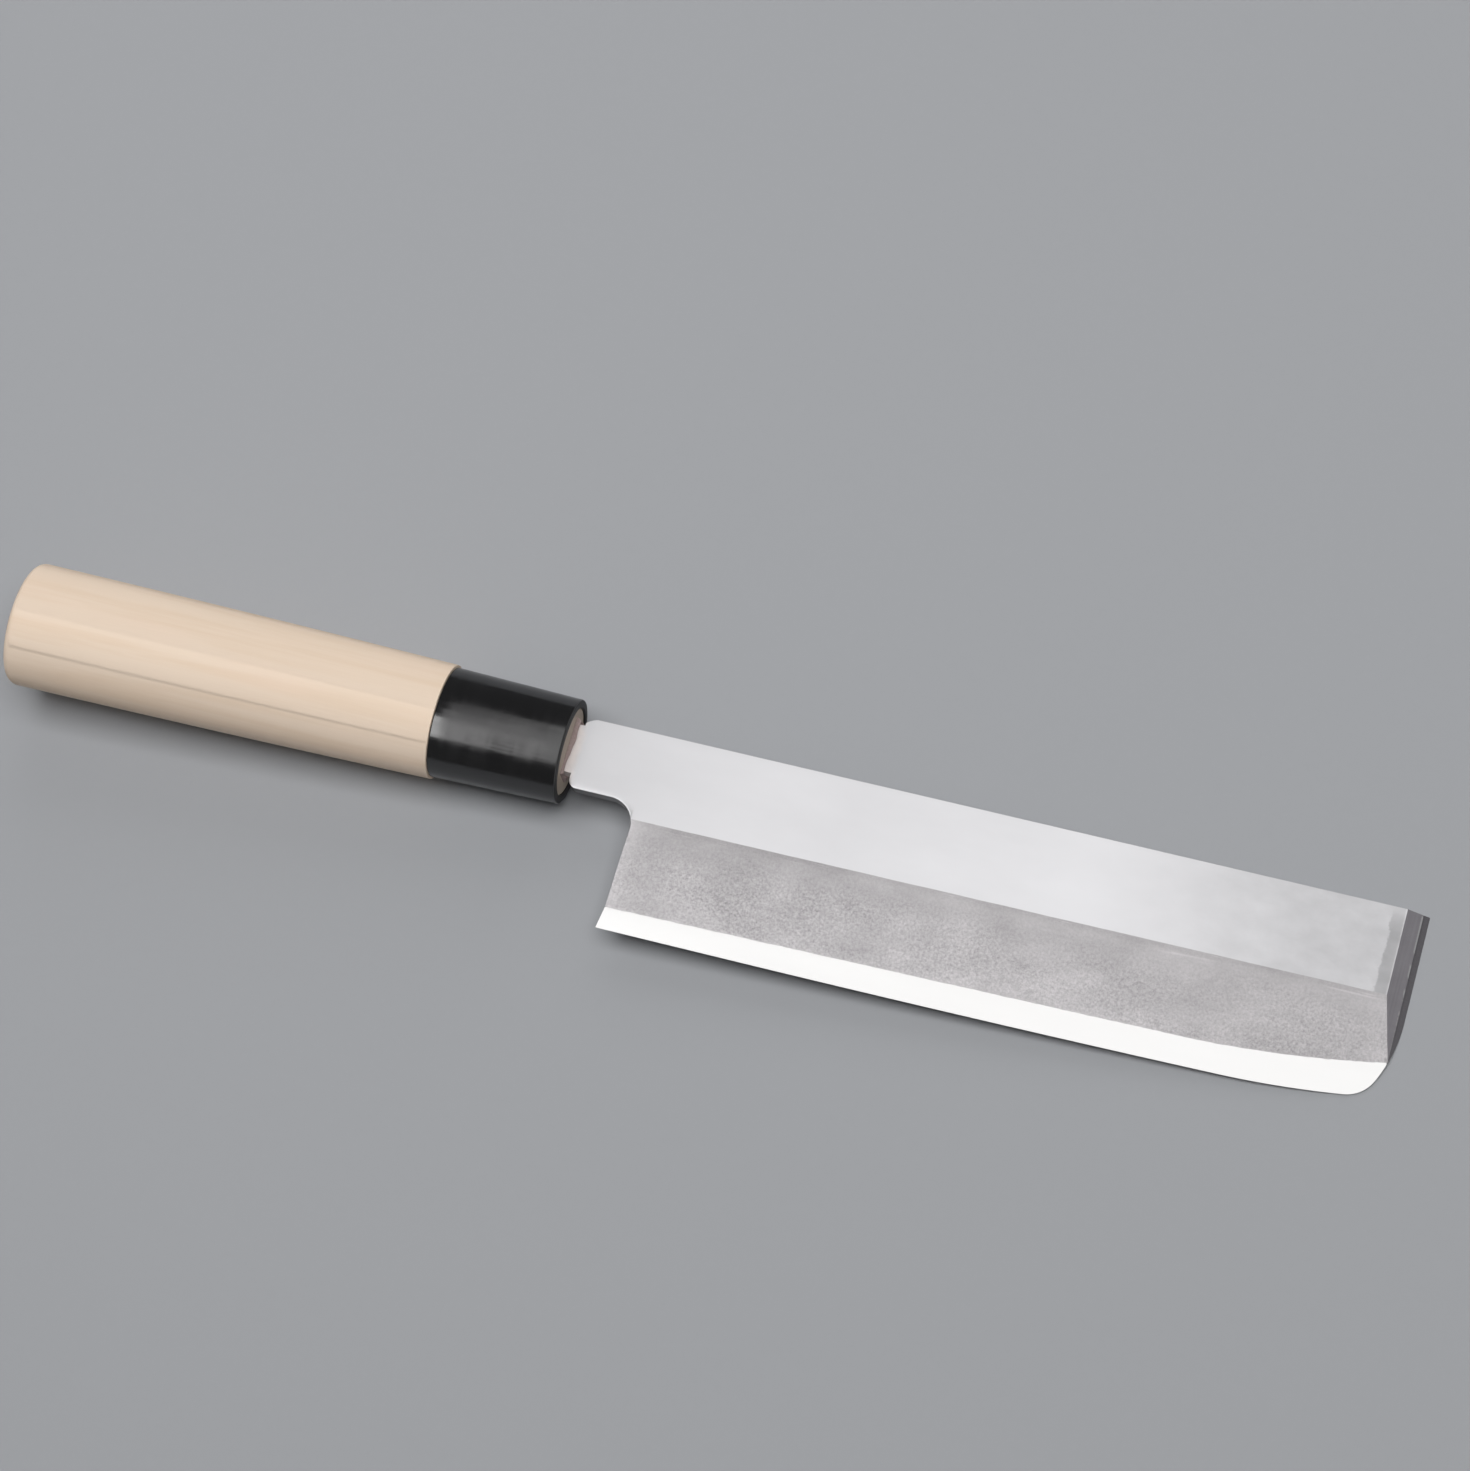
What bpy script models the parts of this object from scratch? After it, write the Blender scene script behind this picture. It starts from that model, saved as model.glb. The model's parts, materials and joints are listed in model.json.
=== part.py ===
"""A usuba: a square-ended, single-bevel vegetable knife with an oval wooden handle.

The knife is modelled in its own frame and then laid down. In the knife frame x runs from the butt
towards the blade's end with 0 at the front of the ferrule, y runs towards the spine with 0 on the
handle's axis, and z runs from the back of the blade towards its bevelled face.
The knife lies on its back: on the ferrule's lower rim and the end of the blade's back.
"""

import math

import bmesh
import bpy
import numpy as np
from mathutils import Matrix, Vector

# Clearances between pieces
GAP = 0.0003  # where one piece fits into another
WELD_GAP = 0.0001  # between the two layers of the blade

# Handle
HANDLE_LENGTH = 0.1360  # butt to the ferrule's front
BUTT_WIDTH = 0.0295
BUTT_THICKNESS = 0.0258
JOINT_WIDTH = 0.0272  # the wood where it meets the ferrule
JOINT_THICKNESS = 0.0238
GRIP_SWELL = 0.0004  # how much fuller the grip is halfway than a straight taper
BUTT_ROUND = 0.0021  # rounding of the butt's rim
BUTT_DOME = 0.0012  # how far the butt's face swells
FERRULE_LENGTH = 0.0306
FERRULE_BACK_WIDTH = 0.0261  # the ferrule sits a little below the wood behind it
FERRULE_BACK_THICKNESS = 0.0228
FERRULE_FRONT_WIDTH = 0.0248
FERRULE_FRONT_THICKNESS = 0.0217
FERRULE_WALL = 0.0020  # at its front, the thinnest place
FERRULE_ROUND = 0.0008  # rounding of its front rim
FERRULE_BACK_ROUND = 0.0003
TENON_RECESS = 0.0004  # the wood's front lies this far behind the ferrule's

# Tang and its socket
TANG_LENGTH = 0.092  # inside the handle
TANG_HEIGHT = 0.0116  # at the ferrule's front
TANG_END_HEIGHT = 0.0060
TANG_END_THICKNESS = 0.0024
TANG_RISE = 0.0005  # the tang's middle above the handle's axis
BEDDING_DEPTH = 0.016
BEDDING_WALL = 0.0007

# Blade, seen from its face
HEEL_SETBACK = 0.0168  # ferrule's front to the heel
BLADE_LENGTH = 0.1803  # heel to the end of the back
BLADE_HEIGHT = 0.0466  # spine to edge at the heel
SPINE_OFFSET = 0.0083  # spine above the handle's axis, at the neck
SPINE_CLIMB = 0.0005  # how much further it stands from the axis at the blade's end
FLAT_HEIGHT = 0.0210  # spine to shinogi at the heel
FLAT_END_HEIGHT = 0.0201  # the same at the blade's end
EDGE_RISE_START = 0.045  # the edge runs straight to here
EDGE_RISE_RADIUS = 5.84
TIP_RISE_START = 0.160  # and turns up faster from here
TIP_RISE_RADIUS = 0.234
END_CURVE_START = 0.0250  # down from the spine, where the end begins to curve back
END_CURVE_RADIUS = 0.033
TIP_RADIUS = 0.0078  # the corner between the curved end and the edge
STRIP_WIDTH = 0.0051  # width of the polished hard steel along the edge, at the heel
STRIP_CLIMB = 0.0175  # how steeply its upper border rises
STRIP_RISE_START = 0.150  # and from here it turns up faster
STRIP_RISE_RADIUS = 0.242

# Blade, across its thickness
NECK_THICKNESS = 0.0036
END_THICKNESS = 0.0027
STEEL_THICKNESS = 0.00068  # at the heel
STEEL_END_THICKNESS = 0.00086  # at the blade's end
STEEL_START = 0.0135  # the steel layer starts here, under the neck
EDGE_LAND = 0.00008  # thickness left at the cutting edge
END_RUN = 0.0052  # how far the slanted end leans over the blade's thickness
END_LAND = 0.0001  # square part at the foot of the slanted end
SPINE_EASE = 0.00035  # chamfer along the spine

# Hollow of the back
HOLLOW_DEPTH = 0.00028
HOLLOW_RIM = 0.0035  # flat rim along the spine
HOLLOW_EDGE_RIM = 0.0036  # and along the edge and both ends
HOLLOW_SQUARENESS = 10  # power of the outline's ends
HOLLOW_TOOL_LENGTH = 1.03  # how far its tool reaches, as a share of half the hollow
HOLLOW_TOOL_WIDTH = 1.12

# Neck and choil
NECK_DEPTH = 0.0087  # neck's underside below the handle's axis
CHOIL_RADIUS = 0.0061
CHOIL_FRONT = 0.0185  # the notch's deepest point ahead of the ferrule
SHOULDER_SETBACK = 0.0018  # lower shoulder ahead of the ferrule
SHOULDER_RADIUS = 0.0020
CREST_RADIUS = 0.0070  # rounding from the tang up to the spine
CREST_SETBACK = 0.0062

# Fineness of the faceted solids
OVAL_SEGMENTS = 56
ROUND_STEPS = 4
GRIP_STEPS = 8
DOME_STEPS = 4
TIP_STEPS = 8
END_CURVE_STEPS = 5
BELLY_STEP = 0.012  # between sections where the edge is nearly straight
TIP_BELLY_STEPS = 8
HOLLOW_STEPS = 26
HOLLOW_CROSS_STEPS = 12
CENTRE_TURNS = 12  # rounds of working out the tip's centre
OVERSHOOT = 0.006  # how far a cutting tool passes the surface it cuts

# Edges sharper than this stay crisp. The blade's faces meet at only a few degrees.
ROUND_CREASE = math.radians(28)
BLADE_CREASE = math.radians(4)

# Derived places
END_X = HEEL_SETBACK + BLADE_LENGTH
BACK_Z = -NECK_THICKNESS / 2
FRONT_PLANE_SLOPE = (END_THICKNESS - NECK_THICKNESS) / END_X
TENON_LENGTH = FERRULE_LENGTH - TENON_RECESS


def arc(centre, radius, start_deg, end_deg, steps):
    turns = np.radians(np.linspace(start_deg, end_deg, steps + 1))
    return [(centre[0] + radius * math.cos(a), centre[1] + radius * math.sin(a)) for a in turns]


def spine_y(x):
    return SPINE_OFFSET + SPINE_CLIMB * x / END_X


def shinogi_y(x):
    share = (x - HEEL_SETBACK) / BLADE_LENGTH
    return spine_y(x) - FLAT_HEIGHT + (FLAT_HEIGHT - FLAT_END_HEIGHT) * share


def blade_thickness(x):
    """The blade thins evenly from the neck to its end, and the tang from the neck to its own end."""
    if x >= 0:
        return NECK_THICKNESS + FRONT_PLANE_SLOPE * x
    return NECK_THICKNESS + (NECK_THICKNESS - TANG_END_THICKNESS) * x / TANG_LENGTH


def belly_y(x):
    """The edge before the tip's corner: straight, then two shallow arcs on top of each other."""
    heel_y = spine_y(HEEL_SETBACK) - BLADE_HEIGHT
    rise = max(x - EDGE_RISE_START, 0) ** 2 / (2 * EDGE_RISE_RADIUS)
    return heel_y + rise + max(x - TIP_RISE_START, 0) ** 2 / (2 * TIP_RISE_RADIUS)


def belly_slope(x):
    rise = max(x - EDGE_RISE_START, 0) / EDGE_RISE_RADIUS
    return rise + max(x - TIP_RISE_START, 0) / TIP_RISE_RADIUS


def strip_y(x):
    """The upper border of the hard steel strip, where the bevel reaches the steel."""
    start = spine_y(HEEL_SETBACK) - BLADE_HEIGHT + STRIP_WIDTH
    rise = max(x - STRIP_RISE_START, 0) ** 2 / (2 * STRIP_RISE_RADIUS)
    return start + STRIP_CLIMB * (x - HEEL_SETBACK) + rise


def steel_height(x):
    """Thickness of the hard steel layer, from the blade's back."""
    share = (x - HEEL_SETBACK) / BLADE_LENGTH
    return STEEL_THICKNESS + (STEEL_END_THICKNESS - STEEL_THICKNESS) * share


def tip_corner():
    """The edge's points round the tip: a tight arc from the edge, then a wide arc up to the square end.

    The tight arc lies inside the wide one and touches it. Its centre is found by turns, from its
    distance to the edge and to the wide arc's centre.
    """
    wide_x = END_X - END_CURVE_RADIUS
    wide_y = spine_y(END_X) - END_CURVE_START
    inner = END_CURVE_RADIUS - TIP_RADIUS
    edge_turn = 0.0
    centre_x = END_X - TIP_RADIUS
    for _ in range(CENTRE_TURNS):
        touch_x = centre_x + TIP_RADIUS * math.sin(edge_turn)
        edge_turn = math.atan(belly_slope(touch_x))
        centre_y = belly_y(touch_x) + TIP_RADIUS * math.cos(edge_turn)
        meeting = math.asin((wide_y - centre_y) / inner)
        centre_x = wide_x + inner * math.cos(meeting)
    edge_deg, meeting_deg = math.degrees(edge_turn), math.degrees(meeting)
    corner = arc((centre_x, centre_y), TIP_RADIUS, edge_deg - 90, -meeting_deg, TIP_STEPS)
    return corner + arc((wide_x, wide_y), END_CURVE_RADIUS, -meeting_deg, 0, END_CURVE_STEPS)[1:]


def tang_half_height(x):
    return TANG_HEIGHT / 2 + (TANG_HEIGHT - TANG_END_HEIGHT) / 2 * x / TANG_LENGTH


# Making objects

def make_object(name, bm, colour=None, roughness=0.5, metallic=0.0, crease=ROUND_CREASE):
    """Turns a bmesh into a smooth-shaded object, with its own material unless it is only a tool."""
    bmesh.ops.recalc_face_normals(bm, faces=bm.faces)
    mesh = bpy.data.meshes.new(name)
    bm.to_mesh(mesh)
    bm.free()
    obj = bpy.data.objects.new(name, mesh)
    bpy.context.scene.collection.objects.link(obj)
    if colour is None:
        obj.hide_render = True
        obj.display_type = "WIRE"
        return obj
    mesh.shade_smooth()
    mesh.set_sharp_from_angle(angle=crease)
    material = bpy.data.materials.new(name)
    material.use_nodes = True
    shader = material.node_tree.nodes["Principled BSDF"]
    shader.inputs["Base Color"].default_value = (*colour, 1)
    shader.inputs["Roughness"].default_value = roughness
    shader.inputs["Metallic"].default_value = metallic
    material.diffuse_color = (*colour, 1)
    mesh.materials.append(material)
    return obj


def loft(sections):
    """A closed body through rings of points, each ring with the same number of them."""
    bm = bmesh.new()
    rings = [[bm.verts.new(point) for point in section] for section in sections]
    for near, far in zip(rings[:-1], rings[1:]):
        for i in range(len(near)):
            j = (i + 1) % len(near)
            bm.faces.new((near[i], near[j], far[j], far[i]))
    bm.faces.new(rings[0])
    bm.faces.new(rings[-1])
    return bm


def prism(outline, z0, z1):
    return loft([[(x, y, z) for x, y in outline] for z in (z0, z1)])


def cut(obj, tool, operation="DIFFERENCE"):
    """Applies a Boolean with the tool and removes the tool."""
    modifier = obj.modifiers.new(operation.lower(), "BOOLEAN")
    modifier.operation = operation
    modifier.object = tool
    graph = bpy.context.evaluated_depsgraph_get()
    mesh = bpy.data.meshes.new_from_object(obj.evaluated_get(graph))
    obj.modifiers.clear()
    obj.data = mesh
    bpy.data.objects.remove(tool)


# The blade

def blade_section(x, edge_y):
    """The blade's outline across its thickness: flat, bevel, steel strip, edge, back and eased spine.

    Past the tip the outline is above the strip, and the section ends on the bevel's own slope.
    """
    front = BACK_Z + blade_thickness(x)
    top = spine_y(x)
    strip = max(strip_y(x), edge_y + EDGE_LAND)
    down = (shinogi_y(x) - strip) / (shinogi_y(x) - strip_y(x))
    strip_z = front + (BACK_Z + steel_height(x) + WELD_GAP / 2 - front) * down
    return [
        (x, top - SPINE_EASE, front),
        (x, shinogi_y(x), front),
        (x, strip, strip_z),
        (x, edge_y, BACK_Z + EDGE_LAND),
        (x, edge_y, BACK_Z),
        (x, top - SPINE_EASE, BACK_Z),
        (x, top, BACK_Z + SPINE_EASE),
        (x, top, front - SPINE_EASE),
    ]


def full_blade():
    """Sections from the tang's end to the blade's end, before the tang and the neck are cut out."""
    corner = tip_corner()
    straight = np.arange(HEEL_SETBACK - 2 * OVERSHOOT, EDGE_RISE_START, BELLY_STEP)
    gentle = np.arange(EDGE_RISE_START, TIP_RISE_START, BELLY_STEP)
    quick = np.linspace(TIP_RISE_START, corner[0][0], TIP_BELLY_STEPS)[:-1]
    stations = [-TANG_LENGTH - OVERSHOOT, 0.0, *straight, *gentle, *quick]
    sections = [blade_section(float(x), belly_y(x)) for x in sorted(set(stations))]
    sections += [blade_section(x, y) for x, y in corner]
    return loft(sections)


def face_outline():
    """The neck, tang, choil and heel seen from the face. It passes well outside the rest of the blade."""
    far = END_X + OVERSHOOT
    below = belly_y(0) - OVERSHOOT
    above = spine_y(END_X) + OVERSHOOT
    tang_end = -TANG_LENGTH
    shoulder = (SHOULDER_SETBACK + SHOULDER_RADIUS, -NECK_DEPTH + SHOULDER_RADIUS)
    choil = (CHOIL_FRONT - CHOIL_RADIUS, -NECK_DEPTH - CHOIL_RADIUS)
    crest = (CREST_SETBACK, spine_y(CREST_SETBACK) + GAP - CREST_RADIUS)
    crest_foot = TANG_RISE + tang_half_height(0)
    foot_turn = math.degrees(math.acos(-(crest[0] - SHOULDER_SETBACK) / CREST_RADIUS))
    heel_lean = (CHOIL_FRONT - HEEL_SETBACK) / (choil[1] - belly_y(HEEL_SETBACK))
    return [
        (tang_end, TANG_RISE - tang_half_height(tang_end)),
        (SHOULDER_SETBACK, TANG_RISE - tang_half_height(0)),
        *arc(shoulder, SHOULDER_RADIUS, 180, 270, ROUND_STEPS),
        *arc(choil, CHOIL_RADIUS, 90, 0, 2 * ROUND_STEPS),
        (HEEL_SETBACK - heel_lean * OVERSHOOT, below),
        (far, below),
        (far, above),
        (CREST_SETBACK, above),
        *arc(crest, CREST_RADIUS, 90, foot_turn, ROUND_STEPS),
        (SHOULDER_SETBACK, crest_foot),
        (tang_end, TANG_RISE + tang_half_height(tang_end)),
    ]


def slant_end(bm):
    """Grinds the blade's end back, so that it leans from the end of the back towards the face."""
    thickness = blade_thickness(END_X)
    foot = Vector((END_X, 0, BACK_Z + END_LAND))
    outward = Vector((thickness, 0, END_RUN)).normalized()
    every = bm.verts[:] + bm.edges[:] + bm.faces[:]
    made = bmesh.ops.bisect_plane(bm, geom=every, plane_co=foot, plane_no=outward, clear_outer=True)
    rim = [item for item in made["geom_cut"] if isinstance(item, bmesh.types.BMEdge)]
    bmesh.ops.contextual_create(bm, geom=rim)


def hollow_tool():
    """The shallow hollow ground into the back, as a lens that dips below the back all round.

    Its height falls with the square across the blade and with a high power along it.
    """
    start = CHOIL_FRONT + HOLLOW_EDGE_RIM
    end = END_X - HOLLOW_EDGE_RIM
    half_length = (end - start) / 2
    along = np.linspace(-HOLLOW_TOOL_LENGTH, HOLLOW_TOOL_LENGTH, HOLLOW_STEPS + 1)
    across = np.linspace(-HOLLOW_TOOL_WIDTH, HOLLOW_TOOL_WIDTH, HOLLOW_CROSS_STEPS + 1)
    edge_end = tip_corner()[0][1]
    bm = bmesh.new()
    rows = []
    for u in along:
        x = (start + end) / 2 + half_length * u
        top = spine_y(x) - HOLLOW_RIM
        low = min(belly_y(x), edge_end) + HOLLOW_EDGE_RIM
        half_width = (top - low) / 2
        row = []
        for v in across:
            height = HOLLOW_DEPTH * (1 - v * v - abs(u) ** HOLLOW_SQUARENESS)
            row.append(bm.verts.new((x, (top + low) / 2 + half_width * v, BACK_Z + height)))
        rows.append(row)
    for near, far in zip(rows[:-1], rows[1:]):
        for i in range(len(near) - 1):
            bm.faces.new((near[i], near[i + 1], far[i + 1], far[i]))
    walls = bmesh.ops.extrude_face_region(bm, geom=bm.faces[:])
    lowered = [item for item in walls["geom"] if isinstance(item, bmesh.types.BMVert)]
    for vert in lowered:
        vert.co.z = BACK_Z - OVERSHOOT
    return make_object("hollow_tool", bm)


def steel_region(clearance):
    """The block of the blade that is hard steel, grown by a clearance at its top and start."""
    low_y = belly_y(0) - OVERSHOOT
    high_y = spine_y(END_X) + OVERSHOOT
    low_z = BACK_Z - OVERSHOOT
    sections = []
    for x in (STEEL_START - clearance, END_X + OVERSHOOT):
        top = BACK_Z + steel_height(x) + clearance
        sections.append([(x, low_y, low_z), (x, high_y, low_z), (x, high_y, top), (x, low_y, top)])
    return make_object("steel_region", loft(sections))


def whole_blade(name, colour, roughness):
    bm = full_blade()
    slant_end(bm)
    obj = make_object(name, bm, colour, roughness, 1.0, BLADE_CREASE)
    outline = prism(face_outline(), BACK_Z - OVERSHOOT, BACK_Z + NECK_THICKNESS + OVERSHOOT)
    cut(obj, make_object("outline_tool", outline), "INTERSECT")
    return obj


def make_blade_iron():
    iron = whole_blade("blade_iron", (0.66, 0.66, 0.67), 0.38)
    cut(iron, steel_region(WELD_GAP))
    return iron


def make_edge_steel():
    steel = whole_blade("edge_steel", (0.86, 0.86, 0.86), 0.22)
    cut(steel, steel_region(0), "INTERSECT")
    cut(steel, hollow_tool())
    return steel


# The handle

def oval(x, half_width, half_thickness):
    turns = np.linspace(0, 2 * math.pi, OVAL_SEGMENTS, endpoint=False)
    return [(x, half_width * math.cos(a), half_thickness * math.sin(a)) for a in turns]


def handle_half_sizes(x):
    """Half width and half thickness of the grip, which tapers with a slight swell to the ferrule."""
    share = (x + HANDLE_LENGTH) / (HANDLE_LENGTH - FERRULE_LENGTH)
    swell = GRIP_SWELL * 4 * share * (1 - share)
    width = BUTT_WIDTH + (JOINT_WIDTH - BUTT_WIDTH) * share + swell
    thickness = BUTT_THICKNESS + (JOINT_THICKNESS - BUTT_THICKNESS) * share + swell
    return width / 2, thickness / 2


def butt_rings():
    """The butt's slightly domed face and rounded rim."""
    rim_x = -HANDLE_LENGTH + BUTT_DOME
    rings = []
    inner = [half - BUTT_ROUND for half in handle_half_sizes(rim_x)]
    for share in np.linspace(0, 1, DOME_STEPS + 1)[1:-1]:
        x = -HANDLE_LENGTH + BUTT_DOME * share**2
        rings.append(oval(x, inner[0] * share, inner[1] * share))
    for turn in np.linspace(0, math.pi / 2, ROUND_STEPS + 1):
        x = rim_x + BUTT_ROUND * (1 - math.cos(turn))
        grow = BUTT_ROUND * (1 - math.sin(turn))
        width, thickness = handle_half_sizes(x)
        rings.append(oval(x, width - grow, thickness - grow))
    return rings


def tenon_half_sizes():
    inner = FERRULE_WALL + GAP
    return FERRULE_FRONT_WIDTH / 2 - inner, FERRULE_FRONT_THICKNESS / 2 - inner


def tang_block(start, end, clearance):
    """The tang between two places, grown all round by a clearance. It makes sockets and sleeves."""
    sections = []
    for x in (start, end):
        half = tang_half_height(x) + clearance
        low = BACK_Z - clearance
        high = BACK_Z + blade_thickness(min(x, 0)) + clearance
        y0, y1 = TANG_RISE - half, TANG_RISE + half
        sections.append([(x, y0, low), (x, y1, low), (x, y1, high), (x, y0, high)])
    return loft(sections)


def make_handle():
    shoulder = -FERRULE_LENGTH - GAP
    rings = butt_rings()
    stations = np.linspace(rings[-1][0][0], shoulder, GRIP_STEPS + 1)[1:]
    rings += [oval(x, *handle_half_sizes(x)) for x in stations]
    rings += [oval(shoulder, *tenon_half_sizes()), oval(-TENON_RECESS, *tenon_half_sizes())]
    handle = make_object("handle_wood", loft(rings), (0.76, 0.60, 0.43), 0.6)
    mouth = tang_block(-BEDDING_DEPTH - GAP, OVERSHOOT, 2 * GAP + BEDDING_WALL)
    socket = tang_block(-TANG_LENGTH - GAP, 0, GAP)
    cut(handle, make_object("mouth_tool", mouth))
    cut(handle, make_object("socket_tool", socket))
    return handle


def make_bedding():
    outer = tang_block(-BEDDING_DEPTH, -TENON_RECESS, GAP + BEDDING_WALL)
    bedding = make_object("tang_bedding", outer, (0.30, 0.20, 0.14), 0.7)
    bore = tang_block(-BEDDING_DEPTH - OVERSHOOT, OVERSHOOT, GAP)
    cut(bedding, make_object("bore_tool", bore))
    return bedding


def make_ferrule():
    back = (FERRULE_BACK_WIDTH / 2, FERRULE_BACK_THICKNESS / 2)
    front = (FERRULE_FRONT_WIDTH / 2, FERRULE_FRONT_THICKNESS / 2)
    bore = (front[0] - FERRULE_WALL, front[1] - FERRULE_WALL)
    rings = [oval(-FERRULE_LENGTH, *bore)]
    rings.append(oval(-FERRULE_LENGTH, *[half - FERRULE_BACK_ROUND for half in back]))
    rings.append(oval(-FERRULE_LENGTH + FERRULE_BACK_ROUND, *back))
    for turn in np.linspace(0, math.pi / 2, ROUND_STEPS + 1):
        x = -FERRULE_ROUND * (1 - math.sin(turn))
        shrink = FERRULE_ROUND * (1 - math.cos(turn))
        rings.append(oval(x, front[0] - shrink, front[1] - shrink))
    rings.append(oval(0, *bore))
    bm = bmesh.new()
    loops = [[bm.verts.new(point) for point in ring] for ring in rings]
    for near, far in zip(loops, loops[1:] + loops[:1]):
        for i in range(OVAL_SEGMENTS):
            j = (i + 1) % OVAL_SEGMENTS
            bm.faces.new((near[i], near[j], far[j], far[i]))
    return make_object("ferrule", bm, (0.012, 0.012, 0.014), 0.18)


# Laying the knife down

def mesh_points(objects):
    rows = [[vertex.co[:] for vertex in obj.data.vertices] for obj in objects]
    return np.array([point for row in rows for point in row])


def lay_down(objects):
    """Tips the knife about y until the blade's end touches the table, and centres it over the origin.

    The table touches the blade at the end of its back, so its slope is that of the steepest line from
    there to a point of the knife.
    """
    points = mesh_points(objects)
    handle = points[points[:, 0] < 0]
    slope = np.max((BACK_Z - handle[:, 2]) / (END_X - handle[:, 0]))
    tip = Matrix.Rotation(math.atan(slope), 4, "Y")
    laid = points @ np.array(tip.to_3x3()).T
    low, high = laid.min(axis=0), laid.max(axis=0)
    rest = bpy.data.objects.new("resting_place", None)
    bpy.context.scene.collection.objects.link(rest)
    rest.rotation_euler = tip.to_euler()
    rest.location = (-(low[0] + high[0]) / 2, -(low[1] + high[1]) / 2, -low[2])
    for obj in objects:
        obj.parent = rest


def main():
    for obj in list(bpy.data.objects):
        bpy.data.objects.remove(obj)
    pieces = [make_blade_iron(), make_edge_steel(), make_handle(), make_bedding(), make_ferrule()]
    lay_down(pieces)


main()
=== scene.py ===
"""The looks of a usuba: a square-ended, single-bevel vegetable knife with an oval wooden handle.

Shapes are worked out in the knife's own frame, in metres, and then laid down with it. There x runs
from the butt towards the blade's end with 0 at the ferrule's front, y runs towards the spine with 0 on
the handle's axis, and z runs from the blade's back towards its bevelled face.
"""

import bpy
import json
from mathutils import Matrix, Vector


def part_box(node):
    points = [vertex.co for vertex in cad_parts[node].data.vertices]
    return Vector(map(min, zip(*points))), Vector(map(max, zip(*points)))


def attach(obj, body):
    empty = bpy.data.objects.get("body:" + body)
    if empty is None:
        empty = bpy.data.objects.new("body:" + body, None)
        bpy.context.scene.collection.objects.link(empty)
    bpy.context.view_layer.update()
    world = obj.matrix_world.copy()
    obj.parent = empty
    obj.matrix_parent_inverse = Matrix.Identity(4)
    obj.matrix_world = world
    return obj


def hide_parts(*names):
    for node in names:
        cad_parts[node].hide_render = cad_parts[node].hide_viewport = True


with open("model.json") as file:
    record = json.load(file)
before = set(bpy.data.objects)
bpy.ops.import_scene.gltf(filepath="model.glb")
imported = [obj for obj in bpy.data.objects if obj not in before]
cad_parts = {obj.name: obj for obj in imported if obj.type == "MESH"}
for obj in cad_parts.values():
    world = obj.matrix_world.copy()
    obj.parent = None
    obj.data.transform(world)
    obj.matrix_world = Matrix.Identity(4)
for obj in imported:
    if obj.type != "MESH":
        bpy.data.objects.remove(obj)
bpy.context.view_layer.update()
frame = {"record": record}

import json
import math

import bmesh
import bpy
import numpy as np
from bpy.props import FloatProperty, FloatVectorProperty, PointerProperty
from mathutils import Matrix, Vector

bl_info = {
    "name": "Usuba knife",
    "version": (1, 0, 0),
    "blender": (4, 5, 0),
    "location": "View3D > Sidebar > Usuba",
    "description": "Dresses a packed usuba with its steel, its wood and its ferrule",
    "category": "Add Mesh",
}

MM = 0.001

# Fits
FIT = 0.02 * MM  # between the dressed pieces
SOLID_GAP = 0.3 * MM  # the solids' clearance, which the wood's mouth and socket keep

# Blade, seen from its face
HEEL_SETBACK = 16.8 * MM  # ferrule's front to the heel
SPINE_OFFSET = 8.3 * MM  # spine above the handle's axis, at the neck
SPINE_CLIMB = 0.5 * MM
EDGE_RISE_START = 45 * MM  # the edge runs straight to here
EDGE_RISE_RADIUS = 5.84
TIP_RISE_START = 160 * MM  # and turns up faster from here
TIP_RISE_RADIUS = 234 * MM
END_CURVE_START = 25 * MM  # down from the spine, where the end begins to curve back
END_CURVE_RADIUS = 33 * MM
STRIP_CLIMB = 0.0175  # how steeply the strip's upper border rises
STRIP_RISE_START = 150 * MM
STRIP_RISE_RADIUS = 242 * MM
STEEL_START = 13.5 * MM  # the steel layer starts here, under the neck
EDGE_LAND = 0.08 * MM
END_RUN = 5.2 * MM  # how far the slanted end leans over the blade's thickness
END_LAND = 0.1 * MM

# Hollow of the back
HOLLOW_DEPTH = 0.28 * MM
HOLLOW_RIM = 3.5 * MM
HOLLOW_EDGE_RIM = 3.6 * MM
HOLLOW_SQUARENESS = 10  # power of the outline's ends

# Neck, choil and tang
NECK_DEPTH = 8.7 * MM  # neck's underside below the handle's axis
CHOIL_RADIUS = 6.1 * MM
CHOIL_FRONT = 18.5 * MM
SHOULDER_SETBACK = 1.8 * MM
SHOULDER_RADIUS = 2.0 * MM
SHOULDER_LEAN = 0.03 * MM  # the shoulder's step leans this much, so that its face has an area
CREST_RADIUS = 7.0 * MM
CREST_SETBACK = 6.2 * MM
CREST_RISE = 0.3 * MM  # the crest's arc would top the spine by this much, so that they meet in a line
TANG_LENGTH = 92 * MM
TANG_HEIGHT = 11.6 * MM
TANG_END_HEIGHT = 6.0 * MM
TANG_END_THICKNESS = 2.4 * MM
TANG_RISE = 0.5 * MM

# Rounding of the blade's rims. The spine's are crisp
RIM_ROUND = 0.15 * MM  # neck, choil and heel
ROUND_SHARE = 0.45  # most of a layer's thickness that a rounding may take

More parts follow.
